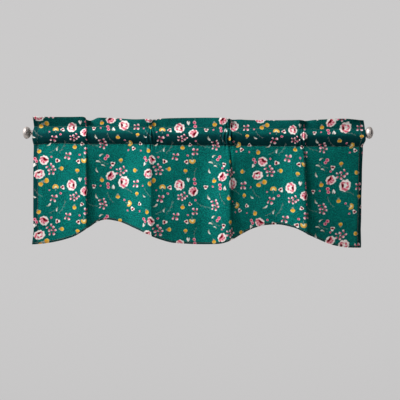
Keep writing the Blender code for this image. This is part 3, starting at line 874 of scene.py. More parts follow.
@dataclass(frozen=True)
class ClothFinish:
    """Printed green cloth: its colours, thread pitch in mm, and how rough and soft it looks.

    mottle, cloud, painted_shade, veil and ink_gaps are how strongly the slow changes of tone, the
    shade painted where the cloth lies in two layers or more, the wrong side and the weave show.
    A bump's distance is in metres.
    """

    ground: Colour = tint(4, 108, 101)
    ground_deep: Colour = tint(1, 70, 71)
    ground_light: Colour = tint(7, 139, 126)
    # Painted shade: the ground darkens to this where the cloth lies in two layers or more, in place of
    # light from behind that comes only through a single layer, and most in the pocket's lower half, in
    # place of the shade under its bulge.
    ground_painted_shade: Colour = tint(0, 48, 53)
    reverse_veil: Colour = tint(44, 128, 116)
    slub_dark: Colour = (0.86, 0.86, 0.86, 1.0)
    slub_light: Colour = (1.1, 1.1, 1.1, 1.0)
    mottle: float = 0.35
    cloud: float = 0.2
    # How strongly the painted shade shows.
    painted_shade: float = 0.9
    veil: float = 0.55
    ink_cover: float = 1.02
    ink_gaps: float = 0.1
    pitch: float = 0.55
    roughness: float = 0.78
    slub_roughness: float = 0.1
    specular: float = 0.05
    sheen: float = 0.06
    sheen_roughness: float = 0.45
    slub_relief: float = 1.6
    bump_strength: float = 0.35
    bump_distance: float = 0.0003

    def build(self, weave: Group, flowers: Group) -> Material:
        """Make the material.

        Args:
            weave: The plain weave's group.
            flowers: The print's group.

        Returns:
            The cloth's material.
        """
        material, w, shader = new_material("printed_cloth")
        flat = w.node("ShaderNodeUVMap", uv_map=FLAT_MAP).outputs["UV"]
        place = w.vector("MULTIPLY", flat, (1 / MM, 1 / MM, 0.0))
        printed = w.use(flowers, Place=place)
        threads = w.use(weave, Place=place, Pitch=self.pitch)
        slubs = w.step(threads["Slubs"], 0.38, 0.62)
        ground = self.dye(w, place, slubs)
        ink = w.times(printed["Ink"], self.ink_cover)
        cover = w.times(slubs, -self.ink_gaps, ink, clamp=True)
        face = w.mix(cover, ground, printed["Colour"])
        side = w.node("ShaderNodeAttribute", attribute_name=REVERSE).outputs["Fac"]
        colour = w.mix(w.times(side, self.veil), face, self.reverse_veil)
        shade = w.node("ShaderNodeCombineColor")
        w.fill(shade.inputs, [threads["Shade"]] * 3)
        w.feed(
            shader,
            Base_Color=w.shade(colour, shade.outputs["Color"]),
            Roughness=w.times(slubs, self.slub_roughness, self.roughness),
            Specular_IOR_Level=self.specular,
            Sheen_Weight=self.sheen,
            Sheen_Roughness=self.sheen_roughness,
            Sheen_Tint=self.ground,
        )
        relief = w.times(threads["Slubs"], self.slub_relief, threads["Height"])
        w.bump(shader, relief, self.bump_strength, self.bump_distance)
        return material

    def dye(self, w: Wiring, place: Socket, slubs: Socket) -> Socket:
        """Colour the ground: fine grain, slow changes of tone, painted shade and uneven yarn.

        Args:
            w: Where to place the nodes.
            place: The flat place in mm.
            slubs: How thick the yarn is.

        Returns:
            The ground's colour.
        """
        grain = w.step(w.noise(place, 0.27, 3.0), 0.36, 0.64)
        mottle = w.step(w.noise(place, 0.09, 3.0), 0.32, 0.68)
        cloudy = w.step(w.noise(place, 0.028, 2.0), 0.3, 0.7)
        ground = w.mix(grain, self.ground_deep, self.ground_light)
        ground = w.mix(w.times(mottle, self.mottle), ground, self.ground_deep)
        ground = w.mix(w.times(cloudy, self.cloud), ground, self.ground_light)
        # Painted shade: darker where the cloth lies in two layers or more and in the pocket's lower half,
        # in place of light coming through a single layer and of the shade under the pocket's bulge.
        painted_shade = w.node("ShaderNodeAttribute", attribute_name=PAINTED_SHADE).outputs["Fac"]
        ground = w.mix(w.times(painted_shade, self.painted_shade), ground, self.ground_painted_shade)
        return w.shade(ground, w.mix(slubs, self.slub_dark, self.slub_light))


@dataclass(frozen=True)
class ThreadFinish:
    """Sewing thread: its colour, the pitch of its twist in m, its roughness and fuzz."""

    colour: Colour = tint(156, 154, 138)
    dark: Colour = tint(96, 104, 94)
    twist: float = 0.0007
    twist_way: tuple[float, float, float] = (1.0, 0.4, 1.0)
    roughness: float = 0.55
    fuzz_scale: float = 900.0

    def build(self, scuffs: Group) -> Material:
        """Make the material, with the shared scuffs as fuzz."""
        material, w, shader = new_material("sewing_thread")
        place = w.node("ShaderNodeTexCoord").outputs["Object"]
        worn = w.use(scuffs, Place=place, Scale=self.fuzz_scale)
        along = w.vector("DOT_PRODUCT", place, self.twist_way)
        ply = w.wave(along, TURN / self.twist)
        mask = w.times(ply, 0.25, w.times(worn["Patches"], 0.6), clamp=True)
        rough = w.times(mask, 0.2, self.roughness)
        w.feed(shader, Base_Color=w.mix(mask, self.colour, self.dark), Roughness=rough)
        return material


@dataclass(frozen=True)
class NickelFinish:
    """Satin nickel plating: its colours, roughness, and how its scuffs and hairlines show."""

    bright: Colour = tint(206, 198, 194)
    dull: Colour = tint(140, 132, 128)
    roughness: float = 0.52
    scuff_scale: float = 160.0
    hairline_scale: float = 900.0
    scuffed: float = 0.35
    brushed: float = 0.25
    dulling: float = 0.25
    bump_strength: float = 0.12
    bump_distance: float = 0.0001

    def build(self, scuffs: Group, name: str) -> Material:
        """Make the material.

        Args:
            scuffs: The shared scuffs' group.
            name: The material's name.

        Returns:
            The metal's material.
        """
        material, w, shader = new_material(name)
        place = w.node("ShaderNodeTexCoord").outputs["Object"]
        worn = w.use(scuffs, Place=place, Scale=self.scuff_scale)
        fine = w.use(scuffs, Place=place, Scale=self.hairline_scale)
        lines = w.times(fine["Hairlines"], self.brushed)
        dulled = w.times(worn["Patches"], self.scuffed, lines)
        rough = w.times(dulled, self.dulling, self.roughness)
        colour = w.mix(dulled, self.bright, self.dull)
        w.feed(shader, Base_Color=colour, Roughness=rough, Metallic=1.0)
        w.bump(shader, fine["Hairlines"], self.bump_strength, self.bump_distance)
        return material


@dataclass(frozen=True)
class FloorFinish:
    """Pale plastered floor."""

    pale: Colour = tint(226, 224, 221)
    shaded: Colour = tint(214, 212, 209)
    roughness: float = 0.9

    def build(self) -> Material:
        """Make the material."""
        material, w, shader = new_material("pale_floor")
        place = w.node("ShaderNodeTexCoord").outputs["Object"]
        colour = w.mix(w.noise(place, 1.5, 3.0), self.pale, self.shaded)
        w.feed(shader, Base_Color=colour, Roughness=self.roughness)
        return material


# ---- the cloth


@dataclass(frozen=True)
class Fold:
    """A crease down the panel; lengths in mm along the flat cloth, angles in degrees.

    top and low are how much of the crease's turn shows as a step in depth, just below
    the seam and further down; the rest lies folded flat. The header's top edge dips by
    header_dip beside the crease. The header's step lies header_shift past the crease and
    drops back over header_fall, and the pocket's step does so over pocket_fall. In the skirt
    the cloth keeps falling back past the crease by bank degrees over bank_width, wider lower
    down. The puckers above the seam lie round pucker_shift, pucker high.
    """

    at: float
    drift: float
    width: float
    low_width: float
    turn: float
    lead: float
    trail: float
    top: float
    low: float
    header_dip: float
    dip_offset: float
    header_step: float
    header_shift: float
    header_fall: float
    pocket_step: float
    pocket_fall: float
    pucker: float
    pucker_shift: float
    bank: float
    bank_width: float


@dataclass(frozen=True)
class Station:
    """Heights of the header's top edge, of the upper stitches and of the seam, in mm."""

    x: float
    header: float
    stitch: float
    seam: float


@dataclass(frozen=True)
class Lean:
    """How far the header leans forward and the skirt puffs out below the seam, in mm.

    swing is how steeply the skirt's bottom swings back to the window.
    """

    x: float
    header: float
    puff: float
    swing: float


@dataclass(frozen=True)
class HemPoint:
    """A point of the bottom edge, in mm."""

    x: float
    z: float


@dataclass(frozen=True)
class EdgeShift:
    """How far the two side edges stand out of line at a height; mm, + to the right."""

    z: float
    left: float
    right: float


FOLDS = (
    Fold(
        at=189.5, drift=1.5, width=25, low_width=30, turn=92, lead=9, trail=7,
        top=0.30, low=0.36, header_dip=11, dip_offset=17,
        header_step=7.0, header_shift=1, header_fall=14, pocket_step=6.0, pocket_fall=12,
        pucker=1.6, pucker_shift=4, bank=12, bank_width=20,
    ),
    Fold(
        at=430, drift=0, width=37, low_width=50, turn=62, lead=19, trail=9,
        top=0.35, low=0.08, header_dip=3, dip_offset=10,
        header_step=5.0, header_shift=-9, header_fall=9, pocket_step=2.5, pocket_fall=5,
        pucker=3.6, pucker_shift=0, bank=1.5, bank_width=40,
    ),
    Fold(
        at=719, drift=5, width=20, low_width=34, turn=84, lead=20, trail=6,
        top=0.45, low=0.45, header_dip=3, dip_offset=10,
        header_step=9.0, header_shift=-11, header_fall=14, pocket_step=3.0, pocket_fall=5,
        pucker=4.2, pucker_shift=-14, bank=12, bank_width=22,
    ),
    Fold(
        at=987, drift=17, width=23, low_width=40, turn=83, lead=17, trail=6,
        top=0.35, low=0.50, header_dip=2, dip_offset=10,
        header_step=7.0, header_shift=-20, header_fall=22, pocket_step=3.0, pocket_fall=5,
        pucker=3.0, pucker_shift=-9, bank=5, bank_width=22,
    ),
)

STATIONS = (
    Station(-576, 54, 22, -42), Station(-495, 54, 22, -36), Station(-400, 54, 22, -39),
    Station(-370, 53.5, 22, -38.5), Station(-300, 52, 21, -38.5), Station(-210, 47, 20, -39),
    Station(-150, 49, 19.5, -41), Station(-90, 51.5, 19, -43), Station(20, 53.5, 18, -44),
    Station(115, 50, 16.5, -44.5), Station(190, 45, 15.5, -45.5), Station(370, 44, 12.5, -47.5),
    Station(450, 47, 12.5, -47.5), Station(512, 48.5, 12.5, -47.5), Station(583, 45, 12.5, -49),
)

LEANS = (
    Lean(-576, 12, 0, 0.16), Lean(-440, 11, 0, 0.13), Lean(-402, 14, 0, 0.12),
    Lean(-388, 5, 2, 0.16), Lean(-376, -5, 3, 0.16), Lean(-340, 6, 3, 0.16), Lean(-300, 1, 3, 0.16),
    Lean(-210, 1, 3, 0.2), Lean(-150, 0, 6, 0.24), Lean(-105, 4, 6, 0.24), Lean(20, 2, 5, 0.22),
    Lean(80, 3, 2, 0.24), Lean(112, -6, 2, 0.24), Lean(124, -10, 5, 0.24), Lean(180, -3, 6, 0.24),
    Lean(225, 0, 5, 0.24), Lean(350, 0, 4, 0.24), Lean(374, -6, 4, 0.24), Lean(422, 6, 4, 0.24),
    Lean(445, 10, 4, 0.24), Lean(470, 16, 4, 0.24), Lean(500, 20, 4, 0.24), Lean(525, 19, 3, 0.24),
    Lean(550, 13, 2, 0.24), Lean(583, 0, 0, 0.24),
)

HEM = tuple(
    HemPoint(x, z)
    for x, z in (
        (-583, -392), (-528, -387), (-445, -367), (-378, -329), (-353, -312), (-324, -304.5),
        (-282, -311), (-226, -334), (-130, -376), (-85, -387.5), (20, -392.5), (70, -391),
        (111, -380.5), (158, -354), (196, -335), (240, -324), (278, -322), (333, -332), (400, -363),
        (489, -398), (534, -404.5), (572, -405.5),
    )
)

# How much of the creases' depth shows at a share of the skirt's depth.
CREASE_GROWTH = ((0, 0.2), (0.035, 0.3), (0.12, 0.6), (0.28, 0.95), (0.52, 1.0), (0.77, 0.95), (1, 0.9))


@dataclass(frozen=True)
class Tuck:
    """A narrow groove from one flat place to another, with its width and depth, in mm.

    It deepens and fades over shares of its length, and widens by a share of its width.
    """

    u: float
    v: float
    to_u: float
    to_v: float
    width: float
    depth: float
    deepening: float = 0.12
    fading: float = 0.7
    widening: float = 1.2

    def press(self, u: Array, v: Array) -> Array:
        """Return how deep the groove presses into the cloth.

        Args:
            u: Flat places across, in metres.
            v: Flat places down, in metres.

        Returns:
            The depth there, in metres.
        """
        run_u, run_v = (self.to_u - self.u) * MM, (self.to_v - self.v) * MM
        off_u, off_v = u - self.u * MM, v - self.v * MM
        length = math.hypot(run_u, run_v)
        along = (off_u * run_u + off_v * run_v) / length**2
        aside = (off_u * run_v - off_v * run_u) / length
        shown = soft_step(along / self.deepening) * soft_step((1 - along) / self.fading)
        width = self.width * MM * (1 + self.widening * np.clip(along, 0, 1))
        return self.depth * MM * shown * np.exp(-((aside / (0.5 * width)) ** 2))


TUCKS = (
    Tuck(427, 103, 431, 152, 5, 2.4), Tuck(717, 103, 723, 205, 5, 2.6),
    Tuck(686, 100, 684, 141, 5, 1.2), Tuck(698, 100, 697, 138, 5, 1.4),
    Tuck(967, 102, 936, 142, 7, 2.4), Tuck(986, 103, 999, 215, 5, 2.2),
    Tuck(414, 100, 408, 135, 6, 1.0), Tuck(443, 100, 449, 138, 6, 1.0),
)

EDGE_SHIFTS = (
    EdgeShift(-405, -8, -0.5), EdgeShift(-335, 0, -4.5),
    EdgeShift(-241, 0, -4.8), EdgeShift(-147, 0, -3),
    EdgeShift(-60, -0.4, -3), EdgeShift(-46, -0.5, -4),
    EdgeShift(-25, -3.5, 3.5), EdgeShift(0, -3.5, 3.3),
    EdgeShift(20, 0, 2.5), EdgeShift(30, 0, 2),
    EdgeShift(55, 0, 0.5),
)

SKIRT_WAVES = Rumple(height=0.0022, size=0.085, seed=0, squeeze=0.35)
FINE_WAVES = Rumple(height=0.0007, size=0.026, seed=3, squeeze=0.6)
HEADER_WAVES = Rumple(height=0.0006, size=0.030, seed=5)
POCKET_CRUMPLES = Rumple(height=0.0016, size=0.013, seed=8)

# The gathers along a line of stitches: share, length in m, sway, and length of the sway in m.
GATHERS = ((1.0, 0.0031, 2.2, 0.037), (0.7, 0.0052, 1.7, 0.061))


@dataclass(frozen=True)
class Drift:
    """How far the print lies off its grain at a flat place; mm, by DRIFT_DEPTHS."""

    u: float
    across: tuple[float, ...]
    down: tuple[float, ...]


DRIFT_DEPTHS = (40.0, 180.0, 260.0, 350.0)
DRIFTS = (
    Drift(200, (0, 0, 0, 0), (0, 0, 0, 0)), Drift(370, (3, 4, 0, 0), (0, 0, 0, 0)),
    Drift(425, (-3, -7, -6, -12), (0, -2, -1, 2)), Drift(470, (-7, -5, -6, -5), (-2, -4, -5, -2)),
    Drift(540, (-3, -3, -3, -2), (-1, -4, -6, -6)), Drift(600, (-1, -2, -2, -2), (1, -2, -3, -3)),
    Drift(640, (4, 5, 3, 5), (3, -2, -2, 0)), Drift(680, (8, 6, 5, 5), (2, -3, -1, 0)),
    Drift(725, (5, 0, 0, 0), (0, 0, 0, 0)), Drift(770, (5, -3, -5, -7), (0, -2, 1, 0)),
    Drift(820, (2, -8, -9, -15), (-2, -1, -3, 1)), Drift(870, (0, -5, -8, -12), (-3, -3, -3, 0)),
    Drift(940, (5, 0, -3, -7), (-1, -1, 1, 1)), Drift(985, (-3, 3, 0, 0), (4, 5, 8, 7)),
    Drift(1030, (0, -1, -3, 0), (9, 6, 10, 10)), Drift(1085, (0, 2, 2, 4), (5, 5, 8, 8)),
    Drift(1130, (6, 6, 7, 6), (4, 3, 5, 5)), Drift(1175, (9, 9, 12, 10), (-3, -3, 0, 1)),
)


def read_rows(rows: Sequence[object], label: str, at: Array, along: str = "x") -> Array:
    """Read one value of a table's rows as a smooth curve.

    Args:
        rows: The table, rising along one of its values.
        label: The name of the value to read.
        at: Where to read it.
        along: The name of the value that rises.

    Returns:
        The curve's values there.
    """
    places = [getattr(row, along) for row in rows]
    return smooth_curve(places, [getattr(row, label) for row in rows], at)


def printed_places(flats: Array) -> Array:
    """Return where on the print each flat place lies, as the cloth was cut a little off its grain.

    Args:
        flats: Flat places and distances down, in metres.

    Returns:
        Places on the print, in metres.
    """
    across, down = flats[..., 0].ravel(), flats[..., 1].ravel()
    marks = [drift.u * MM for drift in DRIFTS]
    share = np.interp(down, [depth * MM for depth in DRIFT_DEPTHS], np.arange(len(DRIFT_DEPTHS)))
    low = np.minimum(share.astype(int), len(DRIFT_DEPTHS) - 2)
    shifts = []
    for rows in ([drift.across for drift in DRIFTS], [drift.down for drift in DRIFTS]):
        read = np.array([smooth_curve(marks, row, across) for row in zip(*rows)])
        picked = read[low, np.arange(len(low))], read[low + 1, np.arange(len(low))]
        shifts.append(picked[0] + (picked[1] - picked[0]) * (share - low))
    return flats - np.stack(shifts, axis=-1).reshape(flats.shape) * MM


@dataclass
class Level:
    """One line of cloth across the panel: what it is, and where it lies in section.

    out is how far the cloth lies from the pocket's middle, square to itself, forward
    how far that middle stands in front of the rod, z the height, down the flat distance
    below the header's fold, drop the share of the skirt's depth, and crease how much of
    the creases' depth shows.
    """

    out: Array
    z: Array
    down: Array
    drop: Array
    crease: Array
    forward: Array


@dataclass
class ValanceCloth:
    """The valance's one panel, as it hangs on the rod. Sizes in metres, turns in degrees."""

    flat_width: float = 1.204
    hung_left: float = -0.5755
    thickness: float = 0.0009
    header_depth: float = 0.035
    pocket_depth: float = 0.071
    side_hem: float = 0.016
    side_stitch: float = 0.0152
    bottom_hem: float = 0.007
    bottom_stitch: float = 0.006
    hem_front: float = 0.0002
    hem_back: float = 0.0008
    edge_thinning: float = 0.45
    lip_shift: float = 0.02
    lip_lift: float = 1.04
    rod_radius: float = 0.008
    rod_gap: float = 0.0004
    bulge_front: float = 0.0135
    bulge_back: float = 0.0115
    bulge_skews: tuple[float, float] = (0.35, 1.5)
    halvings: int = 18
    pocket_tip: float = 0.0016
    lead_length: float = 0.120
    lead_overlap: float = 1.15
    trail_length: float = 0.045
    trail_growth: float = 0.7
    bank_start: float = 0.004
    bank_fade: float = 0.014
    bank_onset: float = 0.07
    panel_turn: float = 2.5
    full_crease_drop: float = 0.5
    header_crease: float = 0.75
    header_bend: float = 1.15
    step_fade: float = 0.7
    left_stand: float = 0.014
    crease_stand: float = 0.008
    right_stand: float = -0.015
    swing_line: float = -0.278
    swing_bend: float = 0.045
    puff_length: float = 0.014
    seam_length: float = 0.006
    header_dip_spread: float = 0.070
    pucker_wave: float = 0.0125
    pucker_bend: float = 1.2
    pucker_bend_length: float = 0.011
    pucker_turn: float = 4.0
    pucker_reach: float = 0.066
    pucker_skirt: float = 0.35
    step_rise: float = 0.026
    stitch_gather: float = 0.00045
    stitch_reach: float = 0.010
    seam_gather: float = 0.00055
    seam_reach: float = 0.013
    pinned: float = 0.004
    wave_start: float = 0.08
    front_seed: float = 2.1
    back_seed: float = 7.3
    hem_roll: float = 0.0028
    hem_roll_reach: float = 0.005
    curl_length: float = 0.030
    curl_left: float = 2.0
    curl_right: float = 24.0
    edge_reach: float = 0.080
    # Painted shade of the side hems, bottom hem and header, as shares of the full painted shade.
    side_painted_shade: float = 0.9
    hem_painted_shade: float = 0.85
    header_painted_shade: float = 0.52
    plan_step: float = 0.0005
    panel_step: float = 0.0041
    fold_step: float = 0.0015
    header_rows: int = 8
    pocket_rows: int = 19
    skirt_rows: int = 40
    top_rows: tuple[float, ...] = (0.0, 0.0015, 0.003, 0.005, 0.008, 0.012, 0.018, 0.026, 0.036)
    hem_rows: tuple[float, ...] = (0.026, 0.018, 0.012, 0.009, 0.0075, 0.0068, 0.006, 0.004, 0.002, 0.0)
    side_columns: tuple[float, ...] = (0.0, 0.0012, 0.004, 0.008, 0.012, 0.0152, 0.016, 0.0175, 0.021)
    plan_levels: int = 21
    folds: tuple[Fold, ...] = FOLDS
    columns: Array = field(init=False)

    def __post_init__(self) -> None:
        """Place the columns, follow the cloth from above, and measure down to its hem."""
        self.columns = self.place_columns()
        plans = [self.follow(drop) for drop in np.linspace(0.0, 1.0, self.plan_levels)]
        self.fine = plans[0][0]
        self.plan_x = np.array([x for _, x, _ in plans])
        self.plan_y = np.array([y for _, _, y in plans])
        lines = self.lines()
        self.hem_down = self.header_depth + self.pocket_depth + lines["seam"] - lines["hem"]

    def centres(self, drop: float) -> Array:
        """Return the creases' flat places at a share of the skirt's depth."""
        return np.array([(fold.at + fold.drift * drop) * MM for fold in self.folds])

    def crease_headings(self, flat: Array, drop: float) -> tuple[Array, Array, list[Array]]:
        """Return the cloth's heading from above, in radians.

        Args:
            flat: Flat places.
            drop: Share of the skirt's depth.

        Returns:
            The heading's smooth part, the banks past the creases, and each crease's own part.
        """
        centres = self.centres(drop)
        corners = np.concatenate(([0.0], centres, [self.flat_width]))
        share = np.interp(flat, corners, np.arange(len(corners))) % 1
        smooth = np.radians(self.panel_turn) * (1 - 2 * share)
        smooth += np.radians(self.curl_left) * pulse(flat, 2 * self.curl_length)
        smooth += np.radians(self.curl_right) * pulse(flat - self.flat_width, 2 * self.curl_length)
        banks = np.zeros_like(flat)
        creases = []
        for fold, centre in zip(self.folds, centres):
            width = fold.width + (fold.low_width - fold.width) * drop
            past = flat - centre
            hump = pulse(past, width * MM)
            lead = pulse(past + self.lead_length / 2, self.lead_overlap * self.lead_length)
            smooth -= np.radians(fold.lead) * lead
            fall = np.where(past > 0, np.exp(-np.maximum(past, 0) / self.trail_length), 0)
            smooth += np.radians(fold.trail) * (1 + self.trail_growth * drop) * fall * (1 - hump)
            reach = past - fold.bank_width * MM * (0.5 + drop)
            bank = (1 - soft_step(reach / self.bank_fade)) * soft_step(past / self.bank_start)
            growth = (0.75 + 0.5 * drop) * soft_step(drop / self.bank_onset)
            banks += np.radians(fold.bank) * growth * bank
            creases.append(np.radians(fold.turn) * math.sqrt(fold.width / width) * hump)
        return smooth, banks, creases

    def follow(self, drop: float) -> tuple[Array, Array, Array]:
        """Follow the cloth from above: forward to each crease, sharply back, and level again.

        Args:
            drop: Share of the skirt's depth.

        Returns:
            Flat places, and x and y there.
        """
        step = self.plan_step
        flat = np.arange(0.0, self.flat_width + step / 2, step)
        smooth, banks, creases = self.crease_headings(flat, drop)
        grown = min(1.0, drop / self.full_crease_drop)
        shown = [fold.top + (fold.low - fold.top) * grown for fold in self.folds]
        weaker = [crease * share for crease, share in zip(creases, shown)]
        across = np.cos(smooth + sum(creases)) * step
        back = np.sin(smooth + banks + sum(weaker)) * step
        x = self.hung_left + np.concatenate(([0], np.cumsum(across[:-1])))
        y = np.concatenate(([0], np.cumsum(back[:-1])))
        ends = self.curl_length, self.flat_width - self.curl_length
        anchors = np.concatenate((ends[:1], self.centres(drop), ends[1:]))
        stands = [self.left_stand] + [self.crease_stand] * len(self.folds) + [self.right_stand]
        y -= np.interp(flat, anchors, np.interp(anchors, flat, y) + stands)
        return flat, x, y

    def place_columns(self) -> Array:
        """Place the mesh's columns: close at creases, hems and ends."""
        groups = []
        for fold in self.folds:
            half = 0.4 * fold.low_width * MM + 0.009
            first = min(-half, fold.pucker_shift * MM - 0.4 * self.pucker_reach)
            count = int(round((half - first) / self.fold_step))
            groups.append(np.linspace(fold.at * MM + first, fold.at * MM + half, count + 1))
        groups.append(self.flat_width - np.array(self.side_columns[::-1]))
        marks = list(self.side_columns)
        for group in groups:
            steps = int(round((group[0] - marks[-1]) / self.panel_step))
            marks.extend(np.linspace(marks[-1], group[0], steps + 1)[1:-1])
            marks.extend(group)
        return np.array(marks)

    def places(self, drop: Array) -> Array:
        """Return the columns' flat places, which follow the creases' drift downwards."""
        starts = self.centres(0.0)
        anchors = np.concatenate(([0.0], starts, [self.flat_width]))
        moves = np.concatenate(([0.0], self.centres(1.0) - starts, [0.0]))
        return self.columns + drop * np.interp(self.columns, anchors, moves)

    def read_plan(self, table: Array, drop: Array, places: Array) -> Array:
        """Read a plan table at each column's depth and flat place."""
        read = np.array([np.interp(places, self.fine, line) for line in table])
        level = np.clip(drop, 0, 1) * (self.plan_levels - 1)
        low = np.minimum(level.astype(int), self.plan_levels - 2)
        column = np.arange(len(places))
        share = level - low
        return read[low, column] * (1 - share) + read[low + 1, column] * share

    def pocket_wall(self, stitch: float, seam: float, bulge: float, skew: float) -> tuple[Array, Array]:
        """Return distance and height down one pocket wall in section."""
        share = np.linspace(0.0, 1.0, self.pocket_rows)
        out = self.thickness / 2 + bulge * np.sin(np.pi * share**skew)
        return out, stitch + (seam - stitch) * share

    def hung_wall(self, stitch: float, seam: float, bulge: float) -> tuple[Array, Array]:
        """Return a pocket wall that hangs as low as the rod lets it."""
        keep = self.rod_radius + self.rod_gap + self.thickness / 2
        loose, tight = self.bulge_skews
        for _ in range(self.halvings):
            skew = (tight + loose) / 2
            out, height = self.pocket_wall(stitch, seam, bulge, skew)
            clear = np.hypot(out, height).min() > keep
            tight, loose = (tight, skew) if clear else (skew, loose)
        return self.pocket_wall(stitch, seam, bulge, loose)

    def lines(self) -> Lines:
        """Return the heights of header, stitch line, seam and hem at each column."""
        top = self.read_plan(self.plan_x, np.zeros_like(self.columns), self.columns) / MM
        low_places = self.places(np.ones_like(self.columns))
        low = self.read_plan(self.plan_x, np.ones_like(self.columns), low_places) / MM
        header = read_rows(STATIONS, "header", top) * MM
        for fold, centre in zip(self.folds, self.centres(0.0)):
            past = self.columns - centre - fold.dip_offset * MM
            header -= fold.header_dip * MM * pulse(past, self.header_dip_spread)
        return {
            "header": header,
            "stitch": read_rows(STATIONS, "stitch", top) * MM,
            "seam": read_rows(STATIONS, "seam", top) * MM,
            "hem": read_rows(HEM, "z", low) * MM,
            "lean": read_rows(LEANS, "header", top) * MM,
            "puff": read_rows(LEANS, "puff", top) * MM,
            "swing": read_rows(LEANS, "swing", top),
        }

    def gather(self, down: Array, stitch_down: float, reach: float) -> Array:
        """Return the fine puckers along a line of stitches, fading over a reach."""
        u = self.columns
        beats = (
            share * np.sin(u / length + sway * np.sin(u / sway_length))
            for share, length, sway, sway_length in GATHERS
        )
        return sum(beats) * np.exp(-(((down - stitch_down) / reach) ** 2))

    def fold_steps(self, steps: Iterable[tuple[float, float, float]]) -> Array:
        """Return how far the cloth stands out before each crease and drops back after it.

        Args:
            steps: Each crease's step in mm: its size, how far past the crease it
                lies, and over what length it drops.

        Returns:
            How far it stands out, by column.
        """
        out = np.zeros_like(self.columns)
        for (size, shift, length), centre in zip(steps, self.centres(0.0)):
            past = self.columns - centre - shift * MM
            rise = np.exp(np.minimum(past, 0) / self.step_rise)
            out += size * MM * rise * (1 - soft_step(past / (length * MM)))
        return out

    def fold_puckers(self, share: float) -> Array:
        """Return the puckers of header and pocket, which fan out from the creases.

        Args:
            share: Share of the pocket's depth, below 0 in the header, over 1 in the skirt.

        Returns:
            How far they stand out, by column.
        """
        out = np.zeros_like(self.columns)
        inside = min(max(share, 0.0), 1.0)
        for fold, centre in zip(self.folds, self.centres(0.0)):
            past = self.columns - centre
            fan = past * (1.1 - 0.25 * math.sin(math.pi * inside))
            bent = self.pucker_bend * np.sin(past / self.pucker_bend_length + self.pucker_turn * inside)
            ripple = 0.5 + 0.5 * np.cos(TURN * fan / self.pucker_wave + bent)
            middle = pulse(past - fold.pucker_shift * MM, self.pucker_reach)
            out += fold.pucker * MM * np.sqrt(middle) * ripple
        strength = 0.5 + 0.5 * math.sin(math.pi * inside)
        below = min(max(share - 1, 0.0) / self.pucker_skirt, 1.0)
        above = min(max(-share, 0.0), 1.0)
        return out * strength * max(1 - 0.9 * below - 0.6 * above, 0.0)

    def header_levels(self, lines: Lines) -> list[Level]:
        """List the header's levels, from its fold to just above the upper stitches."""
        zero = np.zeros_like(self.columns)
        steps = self.fold_steps((f.header_step, f.header_shift, f.header_fall) for f in self.folds)
        found = []
        for share in np.linspace(0.0, 1.0, self.header_rows, endpoint=False):
            above = 1 - share
            z = lines["header"] + (lines["stitch"] - lines["header"]) * share
            down = zero + self.header_depth * share
            round_top = self.thickness / 2 * min(1.0, 0.35 + share * 6)
            lean = lines["lean"] * above**self.header_bend + steps * above**self.step_fade
            lean += self.fold_puckers(-above)
            crease = zero + self.header_crease * above
            found.append(Level(zero + round_top, z, down, zero, crease, lean))
        return found

    def pocket_levels(self, lines: Lines, back: bool) -> list[Level]:
        """List the pocket's levels from the upper stitches, in the back layer with the seam.

        Args:
            lines: The heights that lines gives.
            back: Whether to list the back layer, whose puckers and steps are weaker.

        Returns:
            The levels from above.
        """
        zero = np.zeros_like(self.columns)
        bulge, puckered, stepped = (self.bulge_back, 0.7, 0.3) if back else (self.bulge_front, 1, 1)
        steps = self.fold_steps((f.pocket_step, 0.0, f.pocket_fall) for f in self.folds)
        walls = [self.hung_wall(*ends, bulge) for ends in zip(lines["stitch"], lines["seam"])]
        last = self.pocket_rows - 1
        found = []
        for row in range(self.pocket_rows if back else last):
            share = row / last
            out = np.array([wall[0][row] for wall in walls])
            out += puckered * self.fold_puckers(share)
            out += stepped * steps * math.sin(math.pi * share) ** self.step_fade
            z = np.array([wall[1][row] for wall in walls])
            down = zero + self.header_depth + self.pocket_depth * share
            crease = zero + CREASE_GROWTH[0][1] * max(0.0, share - 0.75) * 4
            found.append(Level(out, z, down, zero, crease, zero))
        return found

    def skirt_levels(self, lines: Lines) -> list[Level]:
        """List the skirt's levels from the seam to the bottom edge."""
        zero = np.zeros_like(self.columns)
        depth = lines["seam"] - lines["hem"]
        first, low = self.top_rows[-1], self.hem_rows[0]
        middle = np.linspace(0.0, 1.0, self.skirt_rows + 2)[1:-1]
        downs = [zero + row for row in self.top_rows]
        downs += [first + (depth - first - low) * share for share in middle]
        downs += [depth - row for row in self.hem_rows]
        found = []
        for down in downs:
            drop = down / depth
            crease = smooth_curve(*zip(*CREASE_GROWTH), drop)
            z = lines["seam"] - down
            below = np.maximum(self.swing_line - z, 0)
            curved = below**2 / (2 * self.swing_bend)
            swung = np.where(below < self.swing_bend, curved, below - self.swing_bend / 2)
            forward = lines["puff"] * (1 - np.exp(-down / self.puff_length)) - lines["swing"] * swung
            forward += self.fold_puckers(1 + down.mean() / self.pocket_depth)
            out = self.thickness / 2 * np.exp(-down / self.seam_length)
            total = self.header_depth + self.pocket_depth + down
            found.append(Level(out, z, total, drop, crease, forward))
        return found

